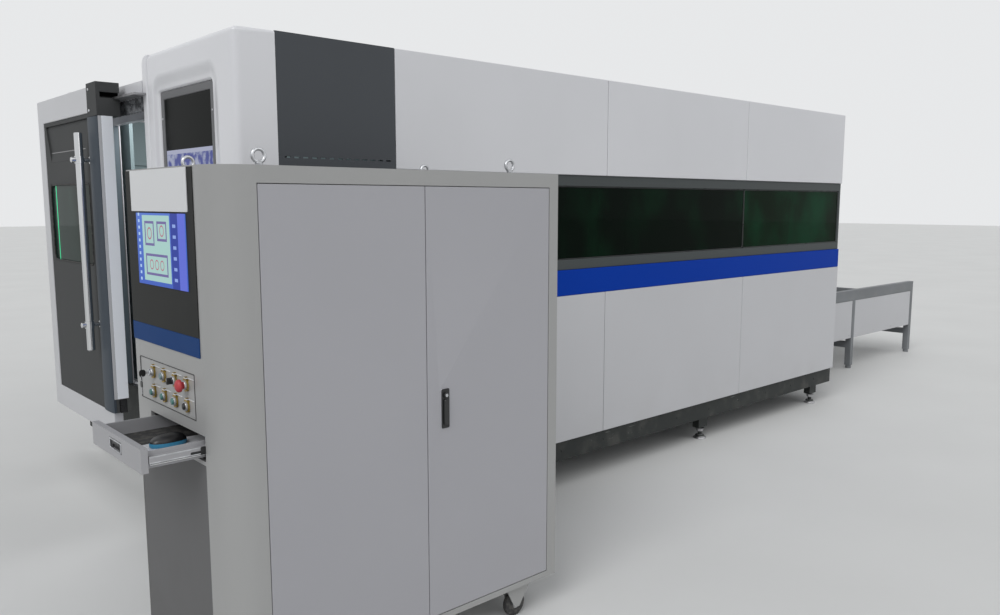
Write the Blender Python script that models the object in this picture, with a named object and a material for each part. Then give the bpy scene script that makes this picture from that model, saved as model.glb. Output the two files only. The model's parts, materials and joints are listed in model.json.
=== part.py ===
"""Enclosed fiber laser cutting machine with a pull-through pallet table and a control cabinet.

Lengths are metres, +Z is up. The helper point(x, y, z) takes shop coordinates: x runs from the
operator end face along the machine, y from the windowed side face into its depth, and z from
the floor. The world origin is the middle of the footprint, on the floor.
"""
import math

import bmesh
import bpy
from mathutils import Matrix, Vector

# Fits and sheet
GAP = 0.0003
SEAM = 0.003
SHEET = 0.003

# Housing of the machine
BODY_LENGTH = 5.080
BODY_WIDTH = 2.640
BODY_HEIGHT = 2.280
PANEL_DEPTH = 0.040
SKIRT_BOTTOM = 0.150
SKIRT_TOP = 0.264
SKIRT_INSET = 0.015
SKIRT_WALL = 0.030
BAND_BOTTOM = 1.090
BAND_TOP = 1.232
GLASS_BOTTOM = 1.288
GLASS_TOP = 1.690
STRIP_TOP = 1.750
HEAD_DEPTH = 0.180
HEAD_WIDTH = 0.965
HEAD_WALL = 0.012
HEAD_RADIUS = 0.030
VENT_END = 0.760
PANEL_PITCH = 1.460
TUBE = 0.050
END_SETBACK = 0.150
ROOF_TOP = 2.240
ROOF_SLAB = 0.020

# Vent panel slots
VENT_COLUMNS = 13
VENT_ROWS = 3
VENT_SLOT = 0.024
VENT_SLOT_HEIGHT = 0.006
VENT_ROW_PITCH = 0.050
VENT_TOP_ROW = 1.782

# Window of the long side
GLASS_THICKNESS = 0.008
WINDOW_SET_IN = 0.010
WINDOW_STILE = 0.030

# Monitor bay in the operator head
BAY_NEAR = 0.240
BAY_FAR = 0.810
BAY_BOTTOM = 1.130
BAY_TOP = 2.100
BAY_DEPTH = 0.050
BEZEL_THICKNESS = 0.025
BEZEL_WIDTH = 0.035

# Sliding door at the operator end
DOOR_NEAR = 1.180
DOOR_WIDTH = 1.030
DOOR_BOTTOM = 0.430
DOOR_TOP = 2.160
DOOR_FRONT = -0.140
DOOR_FRAME_DEPTH = 0.045
DOOR_PANEL_DEPTH = 0.024
DOOR_BACK = -0.070
DOOR_RADIUS = 0.018
DOOR_EDGE = 0.140
HANGER_BACK = -0.032
HANGER_TOP = 2.175
HANGER_FOOT = 0.020
DOOR_STILE = 0.100
DOOR_SILL = 0.120
DOOR_HEADER = 0.124
DOOR_LINER_BOTTOM = 0.620
WINDOW_NEAR = 1.370
WINDOW_FAR = 2.060
WINDOW_BOTTOM = 1.280
WINDOW_TOP = 1.700
WINDOW_RADIUS = 0.030
RELIEF_BOTTOM = 1.820
RELIEF_TOP = 2.015
RELIEF_DEPTH = 0.010
RELIEF_TAPER = 0.070
HANDLE_PLACE = 1.330
HANDLE_RADIUS = 0.019
HANDLE_BOTTOM = 0.860
HANDLE_TOP = 1.940
HANDLE_REACH = 0.048
CLAMP_HEIGHTS = (0.990, 1.808)
OPENING_FAR = 1.865
OPENING_BOTTOM = 0.550
WELD_DEPTH = 0.005
TRACK_HEIGHT = 2.096
TRACK_THICKNESS = 0.010
TRACK_FRONT = -0.058
TRACK_STOP = 0.080
TRACK_HEADER_TOP = 2.168
BELLOWS_BOTTOM = 2.030
BELLOWS_PITCH = 0.040
BELLOWS_DEPTH = 0.018

# Levelling feet
FOOT_FIRST = 0.250
FOOT_PITCH = 1.530
FOOT_COUNT = 4
FOOT_RADIUS = 0.040
FOOT_STEM = 0.014
FOOT_BLOCK = 0.100

# Bed, pallets and motion
BED_START = 0.620
BED_END = 4.900
BEAM_WIDTH = 0.200
BEAM_BOTTOM = 0.300
BEAM_TOP = 0.930
BED_CLEAR = 1.550
LEDGE = 0.070
LEDGE_THICKNESS = 0.040
LEDGE_UPPER = 0.680
LEDGE_LOWER = 0.430
RAIL_HEIGHT = 0.025
RAIL_WIDTH = 0.030
BED_LEGS = 4
PALLET_LENGTH = 2.600
PALLET_WIDTH = 1.400
PALLET_START = 1.900
PALLET_TRAVEL = 3.250
PALLET_RAIL = 0.060
PALLET_HEIGHT = 0.080
SLAT_COUNT = 26
SLAT_THICKNESS = 0.006
SLAT_RISE = 0.075
WHEEL_RADIUS = 0.032
WHEEL_WIDTH = 0.035
TABLE_LENGTH = 2.750
TABLE_WIDTH = 1.660
TABLE_TOP = 0.765
TABLE_BEAM = 0.055
GATE_BOTTOM = 0.360
GATE_TOP = 1.000
GATE_THICKNESS = 0.012
GANTRY_X = 1.050
GANTRY_DEPTH = 0.200
GANTRY_BOTTOM = 1.020
GANTRY_HEIGHT = 0.220
CARRIAGE_Y = 1.230
CARRIAGE_WIDTH = 0.220
CARRIAGE_TOP = 1.420
CARRIAGE_THICKNESS = 0.045
HEAD_BODY = 0.085
NOZZLE_TIP = 0.960

# Control cabinet
CAB_LEFT = -0.510
CAB_LENGTH = 1.345
CAB_FRONT = -0.938
CAB_DEPTH = 0.700
CAB_BOTTOM = 0.130
CAB_TOP = 1.706
CAB_WALL = 0.012
CAB_RADIUS = 0.125
CAB_DOOR_LEFT = -0.384
CAB_DOOR_SPLIT = 0.206
CAB_DOOR_RIGHT = 0.787
CAB_DOOR_BOTTOM = 0.155
CAB_DOOR_TOP = 1.653
CAB_DOOR = 0.020
CAB_LIP = 0.018
CAB_DOOR_GAP = 0.0025
EYE_RING = 0.019
EYE_WIRE = 0.005
LATCH_X = 0.281
LATCH_WIDTH = 0.034
LATCH_BOTTOM = 0.828
LATCH_TOP = 0.966
LATCH_PLATE = 0.004
LATCH_HANDLE = 0.008
CASTER_RADIUS = 0.050
CASTER_WIDTH = 0.028
CASTER_INSET = 0.185
CASTER_PLATE = 0.005
AXLE_RADIUS = 0.006

# Console on the cabinet end
CONSOLE_NEAR = -0.797
CONSOLE_FAR = -0.262
FASCIA = 0.003
STRIPE_BOTTOM = 1.150
SCREEN_NEAR = -0.742
SCREEN_FAR = -0.352
SCREEN_BOTTOM = 1.342
SCREEN_TOP = 1.568
KEYS_NEAR = -0.744
KEYS_FAR = -0.300
KEYS_BOTTOM = 0.953
KEYS_TOP = 1.095
KEYS_POCKET = 0.004
BUTTON_FIRST = -0.418
BUTTON_PITCH = 0.089
BUTTON_ROWS = (1.055, 0.990)
BUTTON_RADIUS = 0.011
BEZEL_RING = 0.0195
CONTROLS = (
    ("key_switch", "jog_button", "mode_selector", "emergency_stop"),
    ("start_button", "pause_button", "resume_button", "reset_button"),
)
BUTTON_FIT = 0.0005

# Keyboard drawer
DRAWER_NEAR = -0.798
DRAWER_FAR = -0.376
DRAWER_OUT = 0.185
DRAWER_FRONT = 0.020
DRAWER_BOTTOM = 0.843
DRAWER_TOP = 0.915
DRAWER_DEPTH = 0.420
DRAWER_WALL = 0.006
SLIDE_WIDTH = 0.010
SLIDE_HEIGHT = 0.030
SLOT_MARGIN = 0.003
MOUSE_X = -0.548
MOUSE_Y = -0.612
MOUSE_HALF = (0.056, 0.031, 0.029)

# Places that follow from the sizes above
SEAMS = (VENT_END, VENT_END + PANEL_PITCH, VENT_END + 2 * PANEL_PITCH, BODY_LENGTH)
TABLE_END = BODY_LENGTH + 0.020 + TABLE_LENGTH
CAB_RIGHT = CAB_LEFT + CAB_LENGTH
CAB_BACK = CAB_FRONT + CAB_DEPTH
MIDDLE_Y = BODY_WIDTH / 2
DOOR_FAR = DOOR_NEAR + DOOR_WIDTH
SPAN_LOW = (CAB_LEFT - DRAWER_OUT, CAB_FRONT - LATCH_PLATE - LATCH_HANDLE - GAP)
SPAN_HIGH = (TABLE_END, BODY_WIDTH)
CENTRE = Vector(((SPAN_LOW[0] + SPAN_HIGH[0]) / 2, (SPAN_LOW[1] + SPAN_HIGH[1]) / 2, 0.0))

OBJECT_NAME = "fiber_laser_cutting_machine"


def point(x, y, z):
    """Turn shop coordinates into world coordinates."""
    return Vector((x, y, z)) - CENTRE


def clear_scene():
    """Start from an empty scene."""
    for old in list(bpy.data.objects):
        bpy.data.objects.remove(old)


def collection(name):
    """Return a new collection that is linked to the scene."""
    made = bpy.data.collections.new(name)
    bpy.context.scene.collection.children.link(made)
    return made


def finish(colour, roughness, metallic=0.0):
    """Describe a Principled surface by its colour, roughness and metallic value."""
    return {"colour": colour, "roughness": roughness, "metallic": metallic}


WHITE = finish((0.60, 0.60, 0.63), 0.45)
CABINET_GREY = finish((0.42, 0.42, 0.41), 0.50)
DOOR_LILAC = finish((0.46, 0.46, 0.48), 0.50)
DARK_GREY = finish((0.07, 0.08, 0.09), 0.50)
TEAL_GREY = finish((0.10, 0.13, 0.14), 0.55)
CHARCOAL = finish((0.04, 0.045, 0.045), 0.45)
BLUE = finish((0.005, 0.035, 0.25), 0.40)
BLACK = finish((0.01, 0.01, 0.01), 0.40)
STEEL = finish((0.45, 0.45, 0.46), 0.35, 1.0)
CHROME = finish((0.75, 0.75, 0.76), 0.12, 1.0)
GREEN_GLASS = finish((0.004, 0.020, 0.010), 0.08)
FRAME_GREY = finish((0.20, 0.21, 0.22), 0.55)
SLAT_STEEL = finish((0.14, 0.13, 0.12), 0.70, 0.6)
RED = finish((0.45, 0.03, 0.03), 0.40)
GREEN = finish((0.03, 0.22, 0.15), 0.35)
GOLD = finish((0.55, 0.38, 0.05), 0.35, 0.8)


def painted(node, look):
    """Give a node its own material."""
    made = bpy.data.materials.new(node.name)
    made.use_nodes = True
    shader = made.node_tree.nodes["Principled BSDF"]
    shader.inputs["Base Color"].default_value = (*look["colour"], 1.0)
    shader.inputs["Roughness"].default_value = look["roughness"]
    shader.inputs["Metallic"].default_value = look["metallic"]
    node.data.materials.append(made)
    return node


def placed(name, mesh, centre, home):
    """Link a mesh as an object at a world place."""
    made = bpy.data.objects.new(name, mesh)
    made.location = centre
    home.objects.link(made)
    if home is CUTTERS:
        made.hide_render = True
        made.display_type = "WIRE"
    return made


def block(name, low, high, home=None):
    """A box between two corners in shop coordinates."""
    low = Vector(low)
    high = Vector(high)
    form = bmesh.new()
    bmesh.ops.create_cube(form, size=1.0)
    bmesh.ops.scale(form, vec=high - low, verts=form.verts)
    mesh = bpy.data.meshes.new(name)
    form.to_mesh(mesh)
    form.free()
    return placed(name, mesh, point(*((low + high) / 2)), home or CUTTERS)


def rod(name, start, end, radius, end_radius=None, sides=16, home=None):
    """A cylinder or cone between two points in shop coordinates."""
    start = Vector(start)
    end = Vector(end)
    form = bmesh.new()
    bmesh.ops.create_cone(
        form,
        cap_ends=True,
        segments=sides,
        radius1=radius,
        radius2=radius if end_radius is None else end_radius,
        depth=(end - start).length,
    )
    turn = Vector((0, 0, 1)).rotation_difference(end - start).to_matrix().to_4x4()
    bmesh.ops.transform(form, matrix=turn, verts=form.verts)
    mesh = bpy.data.meshes.new(name)
    form.to_mesh(mesh)
    form.free()
    return placed(name, mesh, point(*((start + end) / 2)), home or CUTTERS)


def ring(name, centre, radius, wire, home=None):
    """A torus round an axis along y, for a lifting eye."""
    bpy.ops.mesh.primitive_torus_add(
        major_radius=radius,
        minor_radius=wire,
        major_segments=16,
        minor_segments=6,
        location=point(*centre),
        rotation=(math.pi / 2, 0, 0),
    )
    made = bpy.context.object
    made.name = name
    for old in list(made.users_collection):
        old.objects.unlink(made)
    (home or CUTTERS).objects.link(made)
    made.hide_render = home is None
    made.display_type = "WIRE" if home is None else "TEXTURED"
    return made


def arc(centre, radius, start, end, steps):
    """Points on an arc in a plane, angles in degrees."""
    turns = [math.radians(start + (end - start) * i / steps) for i in range(steps + 1)]
    return [(centre[0] + radius * math.cos(t), centre[1] + radius * math.sin(t)) for t in turns]


def rounded_outline(low, high, radii, steps=5):
    """A rectangle whose corners have their own radii, from low-low anticlockwise."""
    corners = (
        (low[0], low[1], 180),
        (high[0], low[1], 270),
        (high[0], high[1], 0),
        (low[0], high[1], 90),
    )
    signs = ((1, 1), (-1, 1), (-1, -1), (1, -1))
    outline = []
    for (x, y, start), (sx, sy), radius in zip(corners, signs, radii):
        if radius:
            outline += arc((x + sx * radius, y + sy * radius), radius, start, start + 90, steps)
        else:
            outline.append((x, y))
    return outline


AXES = {
    "x": Matrix(((0, 0, 1), (1, 0, 0), (0, 1, 0))),
    "y": Matrix(((1, 0, 0), (0, 0, -1), (0, 1, 0))),
    "z": Matrix.Identity(3),
}


def prism(name, outline, axis, start, end, home=None):
    """A flat outline carried along an axis: (y, z) along x, (x, z) along y, (x, y) along z."""
    curve = bpy.data.curves.new(name, "CURVE")
    curve.dimensions = "2D"
    curve.fill_mode = "BOTH"
    curve.extrude = abs(end - start) / 2
    spline = curve.splines.new("POLY")
    spline.points.add(len(outline) - 1)
    middle = Vector((sum(p[0] for p in outline), sum(p[1] for p in outline))) / len(outline)
    for spot, (u, v) in zip(spline.points, outline):
        spot.co = (u - middle[0], v - middle[1], 0.0, 1.0)
    spline.use_cyclic_u = True
    rough = bpy.data.objects.new(name + "_curve", curve)
    CUTTERS.objects.link(rough)
    bpy.context.view_layer.update()
    mesh = bpy.data.meshes.new_from_object(rough.evaluated_get(bpy.context.evaluated_depsgraph_get()))
    bpy.data.objects.remove(rough)
    form = bmesh.new()
    form.from_mesh(mesh)
    bmesh.ops.remove_doubles(form, verts=form.verts, dist=0.00001)
    bmesh.ops.transform(form, matrix=AXES[axis].to_4x4(), verts=form.verts)
    bmesh.ops.recalc_face_normals(form, faces=form.faces)
    form.to_mesh(mesh)
    form.free()
    mesh.name = name
    along = (start + end) / 2
    centre = {
        "x": (along, middle[0], middle[1]),
        "y": (middle[0], along, middle[1]),
        "z": (middle[0], middle[1], along),
    }[axis]
    return placed(name, mesh, point(*centre), home or CUTTERS)


def combine(node, operation, tools):
    """Add one exact Boolean modifier for a group of tools."""
    group = bpy.data.collections.new(node.name + "_" + operation.lower())
    CUTTERS.children.link(group)
    for tool in tools:
        CUTTERS.objects.unlink(tool)
        group.objects.link(tool)
    made = node.modifiers.new(operation.title(), "BOOLEAN")
    made.operation = operation
    made.solver = "EXACT"
    made.operand_type = "COLLECTION"
    made.collection = group
    return node


def join(node, *tools):
    """Weld tools onto a node."""
    return combine(node, "UNION", tools)


def carve(node, *tools):
    """Cut tools out of a node."""
    return combine(node, "DIFFERENCE", tools)


def round_edges(node, radius, chosen, steps=4):
    """Round the mesh edges whose middle, in shop coordinates, passes the test."""
    form = bmesh.new()
    form.from_mesh(node.data)
    edges = []
    for edge in form.edges:
        middle = (edge.verts[0].co + edge.verts[1].co) / 2 + node.location + CENTRE
        if chosen(middle):
            edges.append(edge)
    bmesh.ops.bevel(form, geom=edges, offset=radius, segments=steps, profile=0.5, affect="EDGES")
    form.to_mesh(node.data)
    form.free()
    return node


def smooth(node, degrees=30):
    """Shade round faces smooth and keep the corners sharp."""
    node.data.shade_smooth()
    node.data.set_sharp_from_angle(angle=math.radians(degrees))
    return node


def hinge_point(name, place, *nodes):
    """An empty on a joint's axis that carries the moving nodes."""
    empty = bpy.data.objects.new("joint_" + name, None)
    empty.empty_display_size = 0.1
    empty.location = point(*place)
    PARTS.objects.link(empty)
    bpy.context.view_layer.update()
    for node in nodes:
        node.parent = empty
        node.matrix_parent_inverse = empty.matrix_world.inverted()
    return empty


def tray(name, low, high, depth_axis, open_high, look):
    """A folded sheet panel: a box of thin sheet with one open side."""
    node = block(name, low, high, PARTS)
    inner_low = [value + SHEET for value in low]
    inner_high = [value - SHEET for value in high]
    if open_high:
        inner_high[depth_axis] = high[depth_axis] + SHEET
    else:
        inner_low[depth_axis] = low[depth_axis] - SHEET
    carve(node, block(name + "_hollow", inner_low, inner_high))
    return painted(node, look)


def levelling_foot(name, x, y, top):
    """A foot bracket with its stem and floor pad, as tools to be welded on."""
    half = FOOT_BLOCK / 2
    return [
        block(
            name + "_bracket",
            (x - half, y - half / 2, top - 0.070),
            (x + half, y + half / 2, top + 0.010),
        ),
        rod(name + "_stem", (x, y, 0.010), (x, y, top - 0.060), FOOT_STEM, sides=10),
        rod(name + "_pad", (x, y, 0.0), (x, y, 0.025), FOOT_RADIUS, FOOT_RADIUS * 0.7, 16),
    ]


def base_skirt():
    """The dark plinth round the housing, with its feet and the apron under the door."""
    inset = SKIRT_INSET
    wall = SKIRT_WALL
    left = END_SETBACK
    right = BODY_LENGTH - inset
    near = inset
    far = BODY_WIDTH - inset
    node = block("base_skirt", (left, near, SKIRT_BOTTOM), (right, near + wall, SKIRT_TOP), PARTS)
    tools = [
        block("skirt_far", (left, far - wall, SKIRT_BOTTOM), (right, far, SKIRT_TOP)),
        block("skirt_rear", (right - wall, near, SKIRT_BOTTOM), (right, far, SKIRT_TOP)),
        block("skirt_front", (left, near, SKIRT_BOTTOM), (left + wall, far, SKIRT_TOP)),
        block(
            "skirt_apron",
            (left, HEAD_WIDTH + GAP, SKIRT_TOP - wall),
            (left + wall / 2, BODY_WIDTH - PANEL_DEPTH - GAP, OPENING_BOTTOM - GAP),
        ),
    ]
    foot_line = inset + wall + FOOT_BLOCK / 4 - 0.005
    for i in range(FOOT_COUNT):
        x = FOOT_FIRST + i * FOOT_PITCH
        for side, y in (("near", foot_line), ("far", BODY_WIDTH - foot_line)):
            tools += levelling_foot(f"foot_{side}_{i}", x, y, SKIRT_BOTTOM)
    return painted(join(node, *tools), CHARCOAL)


def frame_posts():
    """Where each post of the tube skeleton starts along the machine."""
    first = END_SETBACK + PANEL_DEPTH + GAP
    last = BODY_LENGTH - PANEL_DEPTH - GAP
    return [first, VENT_END - TUBE / 2, SEAMS[1] - TUBE / 2, SEAMS[2] - TUBE / 2, last - TUBE]


def side_frame(name, y):
    """One welded side of the tube skeleton that carries the panels: posts and rails in a plane."""
    low = SKIRT_TOP + GAP
    high = ROOF_TOP - ROOF_SLAB - GAP
    posts = frame_posts()
    node = block(name, (posts[0], y, low), (posts[0] + TUBE, y + TUBE, high), PARTS)
    tools = []
    for i, x in enumerate(posts[1:]):
        tools.append(block(f"{name}_post_{i}", (x, y, low), (x + TUBE, y + TUBE, high)))
    for i, top in enumerate((low + TUBE, BAND_TOP + TUBE / 2, STRIP_TOP, high)):
        rail_low = (posts[0], y, top - TUBE)
        tools.append(block(f"{name}_rail_{i}", rail_low, (posts[-1] + TUBE, y + TUBE, top)))
    return painted(join(node, *tools), FRAME_GREY)


def near_side():
    """The panels, blue band and window of the long side that faces the cabinet."""
    starts = (HEAD_DEPTH + GAP, SEAMS[1], SEAMS[2])
    ends = (SEAMS[1], SEAMS[2], BODY_LENGTH)
    for i, (start, end) in enumerate(zip(starts, ends), 1):
        left = start if i == 1 else start + SEAM / 2
        right = end if i == 3 else end - SEAM / 2
        low = (left, 0.0, SKIRT_TOP + GAP)
        tray(f"lower_panel_{i}", low, (right, PANEL_DEPTH, BAND_BOTTOM - GAP), 1, True, WHITE)
    for i, (start, end) in enumerate(zip(SEAMS[:-1], SEAMS[1:]), 1):
        left = start + SEAM / 2
        right = end if i == 3 else end - SEAM / 2
        low = (left, 0.0, STRIP_TOP + GAP)
        tray(f"upper_panel_{i}", low, (right, PANEL_DEPTH, BODY_HEIGHT), 1, True, WHITE)
    band_low = (HEAD_DEPTH + GAP, 0.0, BAND_BOTTOM)
    tray("blue_band", band_low, (BODY_LENGTH, PANEL_DEPTH, BAND_TOP - GAP), 1, True, BLUE)
    vent_panel()
    side_window()


def vent_panel():
    """The dark panel beside the operator head, with rows of air slots."""
    low = (HEAD_DEPTH + GAP, 0.0, BAND_TOP)
    high = (VENT_END - SEAM / 2, PANEL_DEPTH, BODY_HEIGHT)
    node = tray("vent_panel", low, high, 1, True, DARK_GREY)
    pitch = (VENT_END - HEAD_DEPTH) / (VENT_COLUMNS + 1)
    slots = []
    for row in range(VENT_ROWS):
        z = VENT_TOP_ROW - row * VENT_ROW_PITCH
        for column in range(VENT_COLUMNS):
            x = HEAD_DEPTH + pitch * (column + 1)
            corner = (x - VENT_SLOT / 2, -SHEET, z)
            opposite = (x + VENT_SLOT / 2, 2 * SHEET, z + VENT_SLOT_HEIGHT)
            slots.append(block(f"slot_{row}_{column}", corner, opposite))
    return carve(node, *slots)


def side_window():
    """The dark window frame and its two tinted panes, set in a little from the panels."""
    left = VENT_END + GAP
    front = WINDOW_SET_IN
    node = block(
        "window_frame",
        (left, front, BAND_TOP),
        (BODY_LENGTH, PANEL_DEPTH, STRIP_TOP - GAP),
        PARTS,
    )
    opening_low = (left + WINDOW_STILE, 0.0, GLASS_BOTTOM)
    opening_high = (BODY_LENGTH - WINDOW_STILE, PANEL_DEPTH + GAP, GLASS_TOP)
    carve(node, block("window_opening", opening_low, opening_high))
    painted(node, DARK_GREY)
    glass_front = front + GLASS_THICKNESS
    split = SEAMS[2]
    spans = ((opening_low[0] + GAP, split - SEAM / 4), (split + SEAM / 4, opening_high[0] - GAP))
    for i, (start, end) in enumerate(spans, 1):
        low = (start, glass_front, GLASS_BOTTOM + GAP)
        pane = block(
            f"side_pane_{i}",
            low,
            (end, glass_front + GLASS_THICKNESS, GLASS_TOP - GAP),
            PARTS,
        )
        painted(pane, GREEN_GLASS)


def far_side():
    """The plain service side: one wall of three folded fields."""
    low = (END_SETBACK, BODY_WIDTH - PANEL_DEPTH, SKIRT_TOP + GAP)
    node = tray("far_wall", low, (BODY_LENGTH, BODY_WIDTH, BODY_HEIGHT), 1, False, WHITE)
    grooves = []
    for i, x in enumerate(SEAMS[:-1]):
        corner = (x - SEAM / 2, BODY_WIDTH - SHEET / 2, SKIRT_TOP)
        grooves.append(block(
            f"far_seam_{i}", corner, (x + SEAM / 2, BODY_WIDTH + SHEET, BODY_HEIGHT + SHEET)
        ))
    corner = (END_SETBACK - SHEET, BODY_WIDTH - SHEET / 2, BAND_BOTTOM)
    grooves.append(block(
        "far_seam_level", corner, (BODY_LENGTH + SHEET, BODY_WIDTH + SHEET, BAND_BOTTOM + SEAM)
    ))
    return carve(node, *grooves)


def roof():
    """The roof that lies on the side frames: its ties below and its ribs above."""
    low = (END_SETBACK + PANEL_DEPTH + GAP, PANEL_DEPTH + GAP, ROOF_TOP - ROOF_SLAB)
    high = (BODY_LENGTH - PANEL_DEPTH - GAP, BODY_WIDTH - PANEL_DEPTH - GAP, ROOF_TOP)
    node = block("roof_sheet", low, high, PARTS)
    ribs = []
    for i, x in enumerate(frame_posts()):
        tie_low = (x, low[1] + TUBE + GAP, low[2] - TUBE)
        ribs.append(block(f"roof_tie_{i}", tie_low, (x + TUBE, high[1] - TUBE - GAP, low[2] + 0.010)))
    for i, x in enumerate(SEAMS[:-1]):
        rib_low = (x - 0.030, low[1] + 0.050, ROOF_TOP - 0.010)
        ribs.append(block(f"roof_rib_{i}", rib_low, (x + 0.030, high[1] - 0.050, ROOF_TOP + 0.018)))
    return painted(join(node, *ribs), WHITE)


def rear_end():
    """The end wall with the pallet doorway, and the gate that closes it from above."""
    low = (BODY_LENGTH - PANEL_DEPTH, PANEL_DEPTH + GAP, SKIRT_TOP + GAP)
    high = (BODY_LENGTH, BODY_WIDTH - PANEL_DEPTH - GAP, BODY_HEIGHT)
    node = tray("rear_wall", low, high, 0, False, WHITE)
    half = TABLE_WIDTH / 2
    doorway_low = (low[0] - SHEET, MIDDLE_Y - half, GATE_BOTTOM)
    gate_back = BODY_LENGTH - SHEET - GAP
    reach = half + 0.030 + GAP
    guides = []
    for i, y in enumerate((MIDDLE_Y - reach - 0.020, MIDDLE_Y + reach)):
        guide_low = (gate_back - 0.030, y, GATE_BOTTOM - 0.030)
        guides.append(block(
            f"gate_guide_{i}", guide_low, (gate_back + 0.002, y + 0.020, GATE_TOP + 0.700)
        ))
    join(node, *guides)
    carve(node, block("pallet_doorway", doorway_low, (BODY_LENGTH + SHEET, MIDDLE_Y + half, GATE_TOP)))
    gate_height = GATE_TOP - GATE_BOTTOM
    gate_low = (gate_back - GATE_THICKNESS, MIDDLE_Y - half - 0.030, GATE_TOP + 0.020)
    gate_high = (gate_back, MIDDLE_Y + half + 0.030, GATE_TOP + 0.020 + gate_height)
    gate = painted(block("pallet_gate", gate_low, gate_high, PARTS), DARK_GREY)
    hinge_point("pallet_gate", (gate_back, MIDDLE_Y, gate_low[2]), gate)


def operator_head():
    """The white moulded head with its monitor bay, and the monitor in it."""
    low = Vector((0.0, 0.0, SKIRT_TOP + GAP))
    high = Vector((HEAD_DEPTH, HEAD_WIDTH, BODY_HEIGHT))
    node = block("operator_head", low, high, PARTS)

    def outer(middle):
        front = abs(middle.x - low.x) < 0.001 and middle.z > low.z + 0.01
        crown = abs(middle.y - high.y) < 0.001 and abs(middle.z - high.z) < 0.001
        return front or crown

    round_edges(node, HEAD_RADIUS, outer)
    bay_low = (-0.01, BAY_NEAR, BAY_BOTTOM)
    bay = block("bay", bay_low, (BAY_DEPTH, BAY_FAR, BAY_TOP))
    wall = HEAD_WALL
    hollow_low = (BAY_DEPTH + wall, wall, low.z + wall)
    hollow = block(
        "head_hollow", hollow_low, (HEAD_DEPTH + 0.01, HEAD_WIDTH - wall, BODY_HEIGHT - wall)
    )
    groove_low = (-0.01, HEAD_WIDTH - 0.065, low.z + 0.05)
    groove = block("rim_groove", groove_low, (0.006, HEAD_WIDTH - 0.058, BODY_HEIGHT - 0.060))
    carve(node, bay, hollow, groove)
    painted(smooth(node), WHITE)
    bezel_back = BAY_DEPTH - GAP
    bezel_front = bezel_back - BEZEL_THICKNESS
    bezel_low = (bezel_front, BAY_NEAR + GAP, BAY_BOTTOM + GAP)
    bezel = block("head_monitor", bezel_low, (bezel_back, BAY_FAR - GAP, BAY_TOP - GAP), PARTS)
    rim = BEZEL_WIDTH
    screen_back = bezel_front + 0.010
    pocket_low = (bezel_front - 0.01, BAY_NEAR + rim, BAY_BOTTOM + rim)
    carve(bezel, block("screen_pocket", pocket_low, (screen_back, BAY_FAR - rim, BAY_TOP - rim)))
    painted(bezel, DARK_GREY)
    glass_low = (screen_back - GAP - 0.006, BAY_NEAR + rim + GAP, BAY_BOTTOM + rim + GAP)
    glass_high = (screen_back - GAP, BAY_FAR - rim - GAP, BAY_TOP - rim - GAP)
    painted(block("head_screen", glass_low, glass_high, PARTS), BLACK)


def operator_end():
    """The wall round the door opening with its header, door track, jamb and sill; seal and liner."""
    near = HEAD_WIDTH + GAP
    far = BODY_WIDTH - PANEL_DEPTH - GAP
    left = END_SETBACK
    right = END_SETBACK + PANEL_DEPTH
    node = block("end_wall", (left, near, OPENING_BOTTOM), (right, far, ROOF_TOP - ROOF_SLAB), PARTS)
    track_top = TRACK_HEIGHT + TRACK_THICKNESS
    weld = WELD_DEPTH
    header = block("track_header", (0.0, near, track_top - weld), (right, far, TRACK_HEADER_TOP))
    track_end = far - TRACK_STOP
    track = block(
        "door_track", (TRACK_FRONT, near, TRACK_HEIGHT), (left + weld, track_end, track_top)
    )
    join(node, header, track)
    carve(
        node,
        block(
            "door_opening",
            (left - 0.01, near - 0.01, OPENING_BOTTOM - 0.01),
            (right + 0.01, OPENING_FAR, BELLOWS_BOTTOM),
        ),
    )
    behind = right + GAP
    jamb_low = (right - weld, HEAD_WIDTH - TUBE, SKIRT_TOP + GAP)
    jamb_high = (behind + TUBE, near + 2 * weld, ROOF_TOP - ROOF_SLAB - TUBE - GAP)
    sill_low = (behind, HEAD_WIDTH - TUBE, OPENING_BOTTOM - TUBE)
    sill_high = (behind + TUBE, far - TUBE - GAP, OPENING_BOTTOM)
    join(node, block("door_jamb", jamb_low, jamb_high), block("door_sill", sill_low, sill_high))
    painted(node, WHITE)
    pleats = int((far - near) / BELLOWS_PITCH)
    ridge = [(0.0 if i % 2 else BELLOWS_DEPTH, near + i * BELLOWS_PITCH / 2) for i in range(2 * pleats + 1)]
    outline = ridge + [(x + SHEET, y) for x, y in reversed(ridge)]
    seal = prism("top_bellows", outline, "z", BELLOWS_BOTTOM, TRACK_HEIGHT - GAP, PARTS)
    painted(seal, FRAME_GREY)
    inner_liner(far)


def inner_liner(far):
    """The teal-grey sheet inside the enclosure: the far wall, its ribs and the door jamb."""
    back = far - TUBE - GAP
    start = END_SETBACK + PANEL_DEPTH + TUBE + 2 * GAP
    end = BODY_LENGTH - PANEL_DEPTH - TUBE - 0.060
    node = block("inner_liner", (start, back - SHEET, OPENING_BOTTOM), (end, back, 2.120), PARTS)
    jamb = block("liner_jamb", (start, OPENING_FAR, OPENING_BOTTOM), (start + 0.020, back, 2.120))
    ribs = []
    for i, z in enumerate((0.900, 1.370, 1.840)):
        ribs.append(block(f"liner_rib_{i}", (start, back - 0.020, z), (end, back, z + 0.025)))
    return painted(join(node, jamb, *ribs), TEAL_GREY)


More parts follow.
